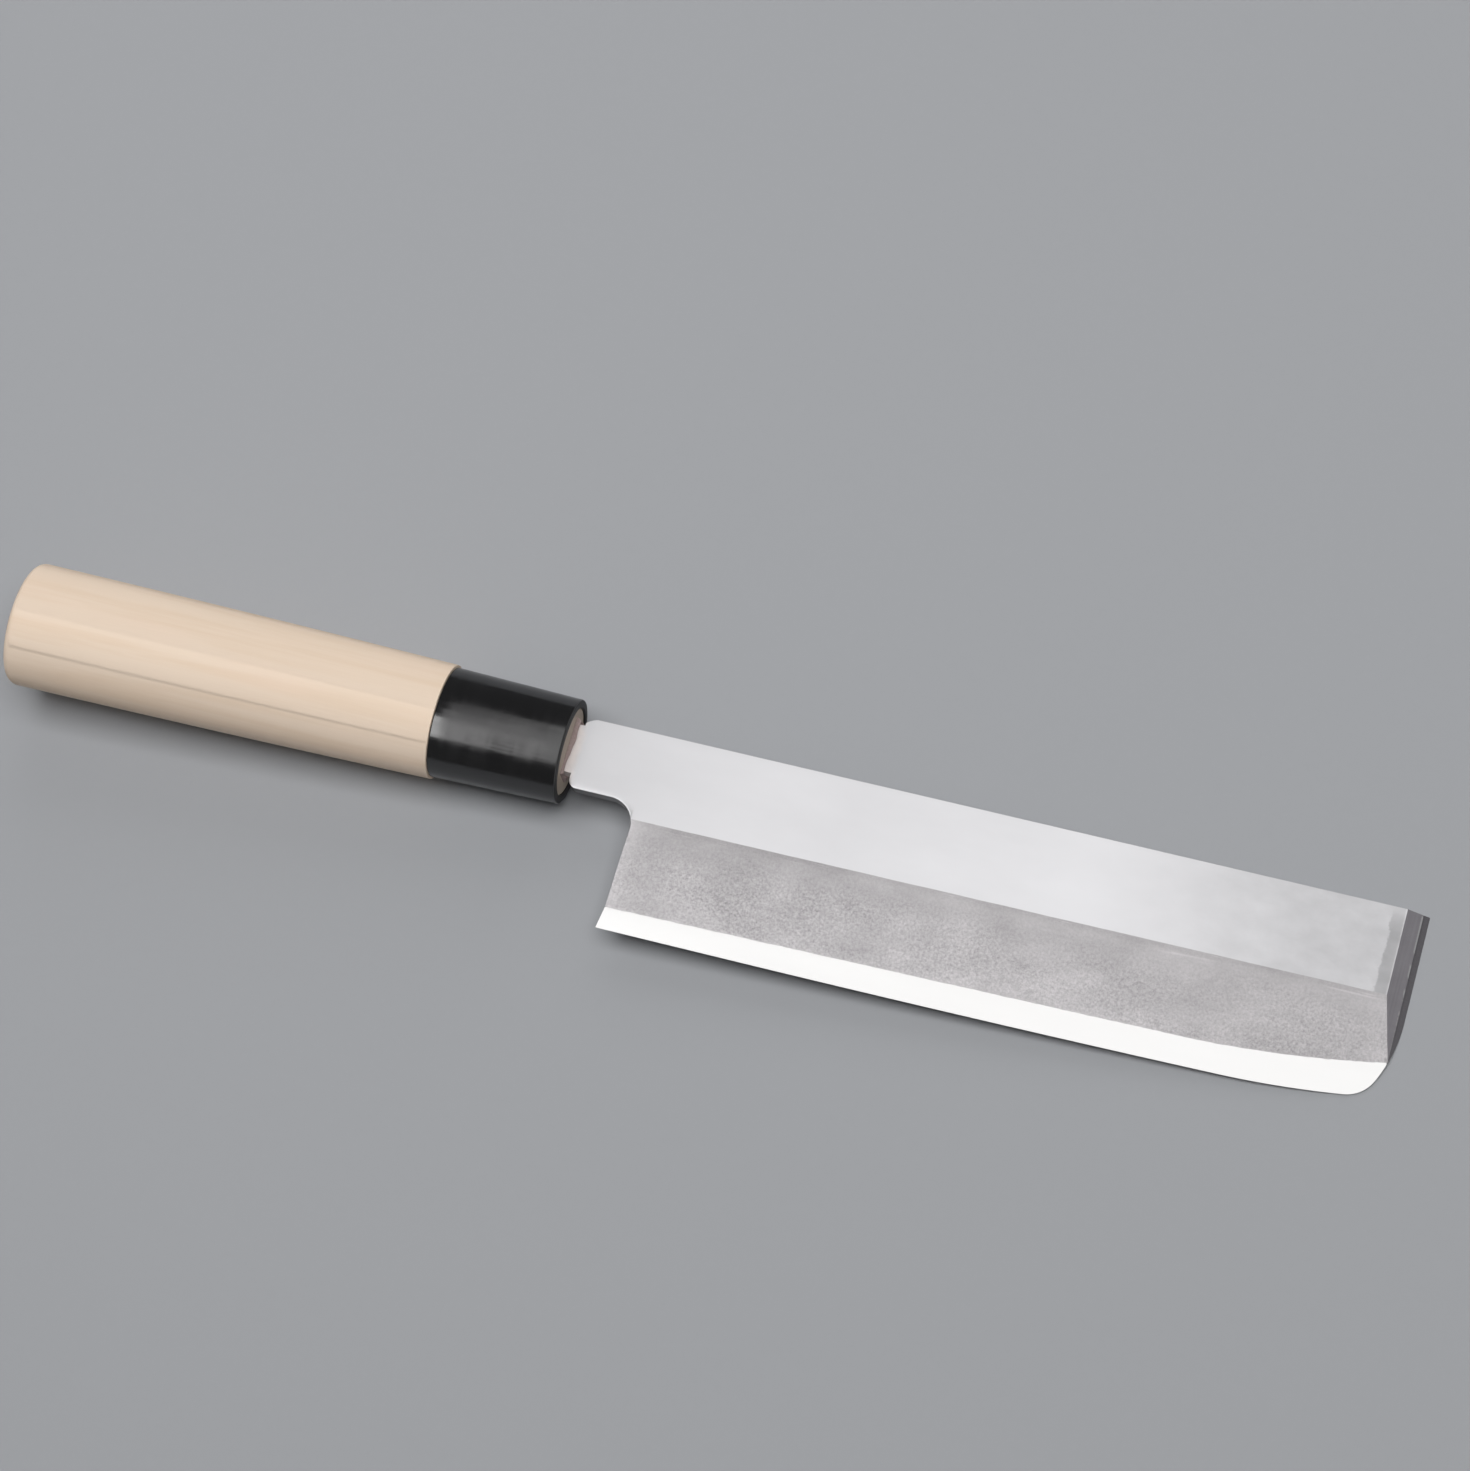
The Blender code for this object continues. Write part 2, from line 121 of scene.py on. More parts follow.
# Handle
BUTT_ROUND = 2.1 * MM
BUTT_DOME = 1.2 * MM
GRIP_SWELL = 0.4 * MM
JOINT_ROUND = 0.25 * MM  # the wood's rim against the ferrule
TENON_RECESS = 0.4 * MM
TENON_CHAMFER = 0.2 * MM
BEDDING_DEPTH = 16 * MM
BEDDING_WALL = 0.7 * MM
BEDDING_SWELL = 0.9 * MM  # how far the filler stands out of the wood
BEDDING_LEAN = 0.1  # share of the swell that is left where the filler meets the tang
BEDDING_WAVES = (  # count round the tang, height as a share of the swell, shift in radians
    (1, 0.45, math.pi / 2),
    (5, 0.13, 0.6),
    (11, 0.07, 0.0),
)
FERRULE_WALL = 2.0 * MM
FERRULE_ROUND = 0.5 * MM
FERRULE_SMALL_ROUND = 0.25 * MM  # at the back, and the chamfer of the bore

# Fineness
EASE_STEPS = 6
FLAT_ROWS = 14
BEVEL_ROWS = 30
STRIP_ROWS = 16
LENGTH_STEPS = 160
END_STEPS = 8
FOOT_STEPS = 3
TANG_STEPS = 10
NECK_STEPS = 8
ARC_STEPS = 18
PATH_STEPS = 600
RIM_STEPS = 60
HEEL_STRIDE = 8  # the heel's path is read at every eighth point for distances to the rim
SETTLE_TURNS = 14  # rounds of working out a place from itself
RING_POINTS = 144
RING_TURNS = np.linspace(0, 2 * math.pi, RING_POINTS, endpoint=False)
GRIP_STEPS = 48
DOME_STEPS = 10
CORNER_STEPS = 8

CRISP_ANGLE = math.radians(35)
WELD = 0.0004 * MM  # points nearer than this are one

# Marks that the back carries, in millimetres, so that it isn't dressed as the slanted end or the haze
BEFORE_END = -10
BELOW_STRIP = 5

# Where each touch of the finishes and of the painted light and shade begins and where it is full, in
# millimetres. Below the ridge
BEVEL_LINE = (-0.06, 0.06)
RIDGE_BAND = (1.9, 0.5)
COARSE_GRAIN = (0.0, 9.0)
LOWER_BEVEL = (8.0, 22.0)
GHOST_LINE = (0.30, 0.08)  # either side of the older ridge
MARGIN_HEIGHT = (-20.4, -15.5)

# Past the slanted end's ridge
END_LINE = (-0.02, 0.04)
# A painted highlight: a bright line along the rim of the slanted end, where it catches the light
PAINTED_RIM_HIGHLIGHT = (-0.45, -0.1)
FROSTED_MARGIN = (-3.1, -2.7)
PALE_BEVEL_END = (-7.0, -1.0)
DULLER_FLAT_END = (-75.0, -8.0)
# Painted shade that darkens the bevel slowly towards the heel
PAINTED_HEEL_SHADE = (-90.0, -150.0)
# Painted reflection: the flat is made paler towards the neck
PAINTED_NECK_REFLECTION = (-110.0, -160.0)

# From the rim of neck, choil and heel
# Painted shade on the walls of neck, choil and heel, which lie in shadow
PAINTED_WALL_SHADE = (0.02, 0.0)
# Painted shade on the flat's rounded rims at neck, choil and heel
PAINTED_RIM_SHADE = (0.17, 0.12)
PALE_HEEL = (4.0, 0.3)

# Below the strip's border, in the back's hollow, and from the ferrule's front
STRIP_HAZE = (0.22, 0.0)
HOLLOW_LINE = (0.0, 0.03)
# A real filler smear on the tang, whose pale colour also paints the tang's bright reflection near the
# ferrule
FILLER_SMEAR_AND_SHEEN = (3.2, 0.8)
TENON_END = (-1.5, -0.6)
FERRULE_CUT = (-0.3, -0.1)

# Colours of small marks, and how bright the painted shade on the walls is against the bevel
# Pale filler colour, which also stands in for the tang's painted reflection
SMEAR_AND_SHEEN_COLOUR = (0.88, 0.82, 0.80)
PINK_WOOD = (0.80, 0.63, 0.50)
TENON_END_COLOUR = (0.45, 0.40, 0.34)
WALL_SHADE_LEVEL = 0.35


# Settings

def length_setting(name, description, default):
    """A length that a user may change."""
    return FloatProperty(name=name, description=description, default=default, unit="LENGTH")


def colour_setting(name, description, default):
    """A colour that a user may change."""
    return FloatVectorProperty(
        name=name, description=description, default=default, subtype="COLOR", min=0, max=1
    )


def radiance_setting(name, description, default):
    """A brightness that a user may change, where 1 shows as white."""
    return FloatProperty(name=name, description=description, default=default)


class UsubaBladeSettings(bpy.types.PropertyGroup):
    """Sizes and finishes of the blade."""

    length: length_setting("Length", "Heel to the end of the back", 180.3 * MM)
    height: length_setting("Height", "Spine to edge at the heel", 46.6 * MM)
    flat_height: length_setting("Flat height", "Spine to the bevel's ridge at the heel", 21.0 * MM)
    flat_end_height: length_setting(
        "Flat end height", "Spine to the bevel's ridge at the blade's end", 20.1 * MM
    )
    strip_width: length_setting(
        "Strip width", "Width of the polished steel along the edge, at the heel", 5.1 * MM
    )
    tip_radius: length_setting("Tip radius", "Corner between the curved end and the edge", 7.8 * MM)
    neck_thickness: length_setting("Neck thickness", "Spine's thickness at the neck", 3.6 * MM)
    end_thickness: length_setting("End thickness", "Spine's thickness at the blade's end", 2.7 * MM)
    steel_thickness: length_setting("Steel thickness", "Hard layer at the heel", 0.68 * MM)
    steel_end_thickness: length_setting("Steel end thickness", "Hard layer at the blade's end", 0.86 * MM)
    flat_colour: colour_setting("Flat", "Satin face above the ridge", (0.645, 0.64, 0.655))
    bevel_colour: colour_setting("Bevel", "Blasted haze of the soft iron", (0.430, 0.415, 0.423))
    strip_colour: colour_setting("Strip", "Polished hard steel along the edge", (0.66, 0.655, 0.65))
    end_colour: colour_setting("End", "Ground face of the slanted end", (0.355, 0.34, 0.365))


class UsubaHandleSettings(bpy.types.PropertyGroup):
    """Sizes and finishes of the handle and its ferrule."""

    length: length_setting("Length", "Butt to the ferrule's front", 136 * MM)
    butt_width: length_setting("Butt width", "Oval's long way at the butt", 29.5 * MM)
    butt_thickness: length_setting("Butt thickness", "Oval's short way at the butt", 25.8 * MM)
    joint_width: length_setting("Joint width", "Oval's long way at the ferrule", 27.2 * MM)
    joint_thickness: length_setting("Joint thickness", "Oval's short way at the ferrule", 23.8 * MM)
    ferrule_length: length_setting("Ferrule length", "Along the handle", 30.6 * MM)
    ferrule_back_width: length_setting("Ferrule back width", "Oval's long way at the wood", 26.1 * MM)
    ferrule_back_thickness: length_setting(
        "Ferrule back thickness", "Oval's short way at the wood", 22.8 * MM
    )
    ferrule_front_width: length_setting("Ferrule front width", "Oval's long way at the blade", 24.8 * MM)
    ferrule_front_thickness: length_setting(
        "Ferrule front thickness", "Oval's short way at the blade", 21.7 * MM
    )
    wood_colour: colour_setting("Wood", "Bare pale wood", (0.79, 0.645, 0.515))
    wood_grain_colour: colour_setting("Wood grain", "Late wood and pores", (0.69, 0.51, 0.355))
    ferrule_colour: colour_setting("Ferrule", "Black gloss collar", (0.003, 0.003, 0.0035))
    bedding_colour: colour_setting("Bedding", "Filler round the tang", (0.39, 0.30, 0.285))


class UsubaStageSettings(bpy.types.PropertyGroup):
    """Floor, light and camera."""

    floor_colour: colour_setting("Floor", "Plain pale floor", (0.38, 0.389, 0.407))
    floor_size: length_setting("Floor size", "Side of the square floor", 14.0)
    box_radiance: radiance_setting("Softbox", "Brightness of the blade's softboxes", 1.34)
    key_radiance: radiance_setting("Key", "Brightness of the overhead light on matt surfaces", 5.9)
    window_radiance: radiance_setting("Window", "Brightness of the soft light from beyond the spine", 1.4)
    ferrule_box_radiance: radiance_setting(
        "Ferrule softbox", "Brightness of the softbox that the ferrule reflects", 4.4
    )
    room_radiance: radiance_setting("Room", "Brightness of the room's even light on matt surfaces", 0.11)
    gloss_radiance: radiance_setting(
        "Room in gloss", "Brightness of the room as polished surfaces see it", 0.12
    )
    ends_radiance: radiance_setting(
        "Ends in gloss", "What the room's pale ends add, beyond butt and blade", 0.6
    )
    lens: FloatProperty(
        name="Lens", description="Focal length", default=110.204, unit="CAMERA"
    )


# Laying the knife down

def resting_place():
    """How the knife lies in the frame, as a 4 x 4 matrix.

    Its tilt is that of the back's mount. Its place puts the foot of the blade's end on the far end of
    the edge_steel node, at the table's height.
    """
    mounts = {mount["name"]: mount for mount in frame["record"]["mounts"]}
    down = mounts["back_rim"]["axis"]
    tilt = math.atan2(-down[0], -down[2])
    low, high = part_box("ferrule")
    end_x = HEEL_SETBACK + blade_settings().length
    back_z = -blade_settings().neck_thickness / 2
    far_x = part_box("edge_steel")[1].x
    place = (
        far_x - end_x * math.cos(tilt) - back_z * math.sin(tilt),
        (low.y + high.y) / 2,
        end_x * math.sin(tilt) - back_z * math.cos(tilt),
    )
    return Matrix.Translation(place) @ Matrix.Rotation(tilt, 4, "Y")


def blade_settings():
    return bpy.context.scene.usuba_blade


def handle_settings():
    return bpy.context.scene.usuba_handle


def stage_settings():
    return bpy.context.scene.usuba_stage


# Curves and surfaces

def between(near, far, share):
    """Even change from near to far, of numbers, of arrays or of numbers in a node tree."""
    return near + (far - near) * share


def parabola(x, start, radius):
    """Rise of a shallow parabola: level at its start, and curved there as a circle of the radius is."""
    return np.maximum(x - start, 0) ** 2 / (2 * radius)


def arc_path(centre, radius, start_deg, end_deg):
    """Points of an arc: the centre plus the radius times the cosine and sine of even turns."""
    turns = np.radians(np.linspace(start_deg, end_deg, PATH_STEPS + 1))
    return np.stack([centre[0] + radius * np.cos(turns), centre[1] + radius * np.sin(turns)], axis=-1)


def distance_to_path(x, y, path):
    """Shortest distance from each place to a path of straight pieces.

    Each place is dropped square onto every piece, the foot is held between the piece's ends, and the
    shortest of the distances to the feet is kept.
    """
    places = np.stack([x, y], axis=-1)[..., None, :]
    starts, runs = path[:-1], np.diff(path, axis=0)
    along = ((places - starts) * runs).sum(-1) / (runs**2).sum(-1)
    feet = starts + np.clip(along, 0, 1)[..., None] * runs
    return np.sqrt(((places - feet) ** 2).sum(-1)).min(-1)


def rounding(distance, radius):
    """How far a surface drops near a rim rounded to a quarter circle: radius less the circle's height."""
    reach = np.clip(radius - distance, 0, radius)
    return radius - np.sqrt(np.maximum(radius**2 - reach**2, 0))


def rounding_places(radius):
    """Distances from a rim that follow its rounding in even turns."""
    return radius * (1 - np.cos(np.linspace(0, math.pi / 2, EASE_STEPS + 1)))


class BladeShape:
    """The blade's outline and heights as functions of x and of a depth.

    The depth counts the blade's lines downwards: 0 is the spine, 1 the bevel's ridge, 2 the upper
    border of the steel strip and 3 the edge. Between two lines it runs evenly.
    """

    def __init__(self):
        self.size = size = blade_settings()
        self.end = HEEL_SETBACK + size.length
        self.heel_edge = self.spine(HEEL_SETBACK) - size.height
        self.choil = (CHOIL_FRONT - CHOIL_RADIUS, -NECK_DEPTH - CHOIL_RADIUS)
        self.wide = (self.end - END_CURVE_RADIUS, self.spine(self.end) - END_CURVE_START)
        self.seam = self.seam_place()
        self.tip, self.meeting_deg, self.touch_deg = self.tip_circle()

    def share(self, x):
        """How far x is from the heel to the blade's end, with 1 at the end."""
        return (x - HEEL_SETBACK) / self.size.length

    def spine(self, x):
        """A straight line that climbs a little from the ferrule's front to the blade's end."""
        return SPINE_OFFSET + SPINE_CLIMB * x / self.end

    def ridge(self, x):
        """Below the spine by the flat's height, which changes evenly from the heel to the end."""
        return self.spine(x) - between(self.size.flat_height, self.size.flat_end_height, self.share(x))

    def strip(self, x):
        """A straight climb from the heel, then a shallow parabola on top of it."""
        climb = STRIP_CLIMB * (x - HEEL_SETBACK) + parabola(x, STRIP_RISE_START, STRIP_RISE_RADIUS)
        return self.heel_edge + self.size.strip_width + climb

    def belly(self, x):
        """Straight, then two shallow parabolas on top of each other."""
        rise = parabola(x, EDGE_RISE_START, EDGE_RISE_RADIUS)
        return self.heel_edge + rise + parabola(x, TIP_RISE_START, TIP_RISE_RADIUS)

    def belly_slope(self, x):
        """How steeply the edge rises, which is the derivative of belly."""
        rise = np.maximum(x - EDGE_RISE_START, 0) / EDGE_RISE_RADIUS
        return rise + np.maximum(x - TIP_RISE_START, 0) / TIP_RISE_RADIUS

    def thickness(self, x):
        """Even thinning from the neck to the blade's end, and from the neck to the tang's end."""
        size = self.size
        blade = (size.end_thickness - size.neck_thickness) / self.end * x
        tang = (size.neck_thickness - TANG_END_THICKNESS) / TANG_LENGTH * x
        return size.neck_thickness + np.where(x > 0, blade, tang)

    def steel(self, x):
        """The hard layer's thickness, which changes evenly from the heel to the end."""
        return between(self.size.steel_thickness, self.size.steel_end_thickness, self.share(x))

    def end_plane(self, x):
        """Height of the slanted end, which leans evenly from the foot of the blade's end."""
        return END_LAND + (self.end - x) * self.size.end_thickness / END_RUN

    def height_at(self, x, depth):
        """y at a depth: a sum of the steps from line to line, each taken as far as the depth goes."""
        flat = (self.ridge(x) - self.spine(x)) * np.clip(depth, 0, 1)
        bevel = (self.strip(x) - self.ridge(x)) * np.clip(depth - 1, 0, 1)
        strip = (self.belly(x) - self.strip(x)) * np.clip(depth - 2, 0, 1)
        return self.spine(x) + flat + bevel + strip

    def depth_at(self, x, y):
        """The depth of a place, as the inverse of height_at."""
        flat = (self.spine(x) - y) / (self.spine(x) - self.ridge(x))
        bevel = (self.ridge(x) - y) / (self.ridge(x) - self.strip(x))
        strip = (self.strip(x) - y) / (self.strip(x) - self.belly(x))
        return np.clip(flat, 0, 1) + np.clip(bevel, 0, 1) + np.clip(strip, 0, 1)

    def face(self, x, depth):
        """Height of the face over the back's plane: level to the ridge, then down to the strip and edge."""
        bevel = (self.steel(x) - self.thickness(x)) * np.clip(depth - 1, 0, 1)
        strip = (EDGE_LAND - self.steel(x)) * np.clip(depth - 2, 0, 1)
        return self.thickness(x) + bevel + strip

    def hollow(self, x, y):
        """Height of the back's hollow, which falls with the square across it and a high power along it."""
        start, stop = CHOIL_FRONT + HOLLOW_EDGE_RIM, self.end - HOLLOW_EDGE_RIM
        along = (2 * x - start - stop) / (stop - start)
        top = self.spine(x) - HOLLOW_RIM
        low = np.minimum(self.belly(x), self.right_path()[-1, 1]) + HOLLOW_EDGE_RIM
        across = (2 * y - top - low) / (top - low)
        return HOLLOW_DEPTH * (1 - across**2 - np.abs(along) ** HOLLOW_SQUARENESS)

    def seam_place(self):
        """x where the choil meets the ridge, found by turns."""
        x = CHOIL_FRONT
        for _ in range(SETTLE_TURNS):
            x = self.choil[0] + math.sqrt(CHOIL_RADIUS**2 - (self.ridge(x) - self.choil[1]) ** 2)
        return x

    def tip_circle(self):
        """The tip's small circle, inside the wide one and touching it and the edge.

        Its centre is found by turns from its distance to the edge and to the wide circle's centre.
        """
        radius = self.size.tip_radius
        inner = END_CURVE_RADIUS - radius
        turn = 0.0
        centre_x = self.end - radius
        for _ in range(SETTLE_TURNS):
            touch_x = centre_x + radius * math.sin(turn)
            turn = math.atan(self.belly_slope(touch_x))
            centre_y = self.belly(touch_x) + radius * math.cos(turn)
            meeting = math.asin((self.wide[1] - centre_y) / inner)
            centre_x = self.wide[0] + inner * math.cos(meeting)
        return (centre_x, centre_y), -math.degrees(meeting), math.degrees(turn) - 90

    def right_path(self):
        """The blade's end from spine to edge: square, then the wide arc, then the tip's."""
        top = [(self.end, self.spine(self.end))]
        curve = arc_path(self.wide, END_CURVE_RADIUS, 0, self.meeting_deg)
        corner = arc_path(self.tip, self.size.tip_radius, self.meeting_deg, self.touch_deg)
        return np.concatenate([top, curve, corner[1:]])

    def left_path(self):
        """From the seam down the choil's last stretch and the heel."""
        turn = math.degrees(math.acos((self.seam - self.choil[0]) / CHOIL_RADIUS))
        choil = arc_path(self.choil, CHOIL_RADIUS, turn, 0)
        return np.concatenate([choil, [(HEEL_SETBACK, self.heel_edge)]])

    def tang_half_height(self, x):
        """Half the tang's height, which falls evenly from its root to its end."""
        return between(TANG_HEIGHT, TANG_END_HEIGHT, -x / TANG_LENGTH) / 2

    def neck_top(self, x):
        """The tang's top, then the crest's arc as far as it is below the spine, then the spine."""
        centre_y = self.spine(CREST_SETBACK) + CREST_RISE - CREST_RADIUS
        reach = np.clip(CREST_SETBACK - x, 0, CREST_RADIUS)
        crest = centre_y + np.sqrt(CREST_RADIUS**2 - reach**2)
        tang = TANG_RISE + self.tang_half_height(x)
        return np.where(x < SHOULDER_SETBACK, tang, np.minimum(crest, self.spine(x)))

    def neck_bottom(self, x):
        """The tang's underside, the shoulder's arc, the straight underside, then the choil's arc."""
        lead = np.clip(SHOULDER_SETBACK + SHOULDER_RADIUS - x, 0, SHOULDER_RADIUS)
        shoulder = SHOULDER_RADIUS - NECK_DEPTH - np.sqrt(SHOULDER_RADIUS**2 - lead**2)
        reach = np.clip(x - self.choil[0], 0, CHOIL_RADIUS)
        choil = self.choil[1] + np.sqrt(CHOIL_RADIUS**2 - reach**2)
        neck = np.where(x < self.choil[0], shoulder, choil)
        return np.where(x < SHOULDER_SETBACK, TANG_RISE - self.tang_half_height(x), neck)


def depth_rows():
    """Depths of the grid's rows, closer together at the lower rim, where the face is rounded."""
    low = 1 - rounding_places(RIM_ROUND)[::-1] / (SPINE_OFFSET + NECK_DEPTH)
    flat = np.linspace(0, low[0], FLAT_ROWS + 1)[:-1]
    bevel = 1 + np.linspace(0, 1, BEVEL_ROWS + 1)[1:]
    strip = 3 - np.linspace(1, 0, STRIP_ROWS + 1)[1:] ** 2
    return np.concatenate([flat, low, bevel, strip])


def neck_ribs(shape):
    """Places of the ribs across the tang and the neck. Two of them share the steel's start."""
    tang = np.linspace(-TANG_LENGTH, SHOULDER_SETBACK - SHOULDER_LEAN, TANG_STEPS + 1)
    quarter = 1 - np.cos(np.linspace(0, math.pi / 2, CORNER_STEPS + 1))
    shoulder = SHOULDER_SETBACK + SHOULDER_RADIUS * quarter
    crest = np.linspace(shoulder[-1], CREST_SETBACK, CORNER_STEPS + 1)[1:]
    neck = np.linspace(CREST_SETBACK, shape.choil[0], NECK_STEPS + 1)[1:]
    turn = math.asin((shape.seam - shape.choil[0]) / CHOIL_RADIUS)
    choil = shape.choil[0] + CHOIL_RADIUS * np.sin(np.linspace(0, turn, ARC_STEPS + 1)[1:-1])
    return np.sort(np.concatenate([tang, shoulder, crest, neck, choil, [STEEL_START, STEEL_START]]))


def blade_columns(shape, depth):
    """x of the grid's columns past the seam, for each row.

    They run evenly from the outline on the left, after a few that follow its rounding, to the ridge of
    the slanted end, on to the line where that end reaches the steel, and to the outline on the right.
    The outlines are read off their paths at the row's depth. The slanted end's ridge is found by turns
    as the place where its plane comes up to the face.
    """
    left, right = shape.left_path(), shape.right_path()
    start = np.interp(depth, shape.depth_at(*left.T), left[:, 0])
    stop = np.interp(depth, shape.depth_at(*right.T), right[:, 0])
    ridge = np.full_like(depth, shape.end)
    lamination = np.full_like(depth, shape.end)
    lean = END_RUN / shape.size.end_thickness
    for _ in range(SETTLE_TURNS):
        ridge = shape.end - (shape.face(ridge, depth) - END_LAND) * lean
        lamination = shape.end - (shape.steel(lamination) - END_LAND) * lean
    ridge, lamination = np.minimum(ridge, stop), np.minimum(lamination, stop)
    ridge = np.minimum(ridge, lamination)
    rim = start[:, None] + rounding_places(RIM_ROUND)
    stretches = [rim]
    for near, far, steps in (
        (rim[:, -1], ridge, LENGTH_STEPS),
        (ridge, lamination, END_STEPS),
        (lamination, stop, FOOT_STEPS),
    ):
        shares = np.linspace(0, 1, steps + 1)[1:]
        stretches.append(between(near[:, None], far[:, None], shares))
    return np.concatenate(stretches, axis=1), ridge


class BladeGrid:
    """One grid of places over the tang, the neck and the blade, with the heights of its layers.

    Row by row it goes down from the spine to the edge. The neck's ribs have only the rows of the flat.
    """

    def __init__(self, shape):
        depth = depth_rows()
        ribs = neck_ribs(shape)
        flat_rows = int(np.searchsorted(depth, 1)) + 1
        blade_x, end_ridge = blade_columns(shape, depth)
        blade_y = shape.height_at(blade_x, depth[:, None])
        top, low = shape.neck_top(ribs), shape.neck_bottom(ribs)
        neck_x = np.broadcast_to(ribs, (len(depth), len(ribs)))
        neck_y = between(top, low, np.minimum(depth, 1)[:, None])
        self.x = np.concatenate([neck_x, blade_x], axis=1)
        self.y = np.concatenate([neck_y, blade_y], axis=1)
        blade_depth = np.broadcast_to(depth[:, None], blade_x.shape)
        self.depth = np.concatenate([np.zeros_like(neck_x), blade_depth], axis=1)
        self.steel_column = int(np.flatnonzero(ribs == STEEL_START)[1])
        self.lamination_column = self.x.shape[1] - 1 - FOOT_STEPS
        self.strip_row = int(np.searchsorted(depth, 2))
        self.cells = np.ones((len(depth) - 1, self.x.shape[1] - 1), bool)
        self.cells[flat_rows - 1:, : len(ribs)] = False
        self.heights(shape)
        self.crisp = np.isclose(self.depth, 1)
        self.crisp[:, len(ribs) + EASE_STEPS + LENGTH_STEPS] = True
        self.marks = {
            "below_ridge": (shape.ridge(self.x) - self.y) / MM,
            "below_strip": (shape.strip(self.x) - self.y) / MM,
            "past_end": (self.x - end_ridge[:, None]) / MM,
            "from_heel": self.from_low / MM,
            "from_front": self.x / MM,
            "hollow": shape.hollow(self.x, self.y) / MM,
        }

    def heights(self, shape):
        """Face, back and the border between the layers, over the back's plane, with a rounded lower rim."""
        quarter = 1 - np.cos(np.linspace(0, math.pi / 2, RIM_STEPS))
        choil = np.linspace(shape.choil[0], shape.seam, RIM_STEPS)
        reach = np.concatenate([SHOULDER_SETBACK + SHOULDER_RADIUS * quarter, choil])
        heel = shape.left_path()
        low_path = np.stack([reach, shape.neck_bottom(reach)], axis=-1)
        low_path = np.concatenate([low_path, heel[1:-2:HEEL_STRIDE], heel[-2:]])
        self.from_low = distance_to_path(self.x, self.y, low_path)
        face, steel = shape.face(self.x, self.depth), shape.steel(self.x)
        room = ROUND_SHARE * np.maximum(face - steel, 0)
        drop = rounding(self.from_low, np.minimum(RIM_ROUND, room))
        self.face = np.minimum(face - drop, shape.end_plane(self.x))
        lift = rounding(self.from_low, np.minimum(RIM_ROUND, ROUND_SHARE * np.minimum(face, steel)))
        self.back = np.minimum(np.maximum(shape.hollow(self.x, self.y), 0) + lift, self.face)
        self.border = np.minimum(np.maximum(steel, self.back), self.face)


# Making pieces

def add_object(name, data):
    """Makes an object and links it to the scene."""
    added = bpy.data.objects.new(name, data)
    bpy.context.scene.collection.objects.link(added)
    return added


def add_piece(name, points, faces, finish, node, marks, crisp=None):
    """Lays the points down with the knife, makes them a mesh and hands the piece to the frame.

    Coinciding points are merged, so that seams, wedges and poles close. Edges are crisp where faces
    meet at more than the crisp angle, and where both ends are marked crisp.
    """
    rest = np.array(resting_place())
    used, local = np.unique(faces, return_inverse=True)
    placed = points[used] @ rest[:3, :3].T + rest[:3, 3]
    mesh = bpy.data.meshes.new(name)
    mesh.from_pydata(placed.tolist(), [], local.reshape(faces.shape).tolist())
    crisp = np.zeros(len(points)) if crisp is None else crisp
    for layer, values in {**marks, "crisp": crisp}.items():
        attribute = mesh.attributes.new(layer, "FLOAT", "POINT")
        attribute.data.foreach_set("value", np.asarray(values, np.float32)[used])
    body = bmesh.new()
    body.from_mesh(mesh)
    bmesh.ops.remove_doubles(body, verts=body.verts, dist=WELD)
    bmesh.ops.dissolve_degenerate(body, edges=body.edges, dist=WELD)
    bmesh.ops.recalc_face_normals(body, faces=body.faces)
    body.to_mesh(mesh)
    body.free()
    mesh.shade_smooth()
    mesh.set_sharp_from_angle(angle=CRISP_ANGLE)
    mark_crisp_lines(mesh)
    mesh.materials.append(finish)
    piece = add_object(name, mesh)
    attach(piece, "root")
    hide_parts(node)


def mark_crisp_lines(mesh):
    """Makes an edge sharp where both of its ends are marked crisp."""
    ends = np.zeros(len(mesh.edges) * 2, np.int32)
    mesh.edges.foreach_get("vertices", ends)
    crisp = np.zeros(len(mesh.vertices), np.float32)
    mesh.attributes["crisp"].data.foreach_get("value", crisp)
    sharp = np.zeros(len(mesh.edges), bool)
    mesh.edges.foreach_get("use_edge_sharp", sharp)
    both = (crisp[ends.reshape(-1, 2)] > 0.5).all(axis=1)
    mesh.edges.foreach_set("use_edge_sharp", sharp | both)


def plate(grid, back_plane, top, bottom, cells):
    """Points and faces of a closed plate between two height fields over the grid's kept cells.

    The bottom has the top's faces turned over. A wall goes down from each edge that only one kept
    cell has.
    """
    x, y = grid.x.ravel(), grid.y.ravel()
    points = np.concatenate([np.stack([x, y, back_plane + z.ravel()], axis=-1) for z in (top, bottom)])
    index = np.arange(grid.x.size).reshape(grid.x.shape)
    corners = (index[:-1, :-1], index[1:, :-1], index[1:, 1:], index[:-1, 1:])
    quads = np.stack(corners, axis=-1)[cells]
    edges = np.concatenate([quads[:, [k, (k + 1) % 4]] for k in range(4)])
    _, first, count = np.unique(np.sort(edges, axis=1), axis=0, return_index=True, return_counts=True)
    rim = edges[first[count == 1]]
    walls = np.stack([rim[:, 1], rim[:, 0], rim[:, 0] + x.size, rim[:, 1] + x.size], axis=-1)
    return points, np.concatenate([quads, quads[:, ::-1] + x.size, walls])


def add_plate(name, grid, top, bottom, cells, finish):
    """Makes a piece of the blade. Its back carries the marks of the back's finish instead of the face's."""
    points, faces = plate(grid, -blade_settings().neck_thickness / 2, top, bottom, cells)
    marks = {key: np.tile(values.ravel(), 2) for key, values in grid.marks.items()}
    marks["hollow"][:grid.x.size] = 0
    marks["past_end"][grid.x.size:] = BEFORE_END
    marks["below_strip"][grid.x.size:] = BELOW_STRIP
    crisp = np.concatenate([grid.crisp.ravel(), np.zeros(grid.x.size, bool)])
    add_piece(name, points, faces, finish, name, marks, crisp)


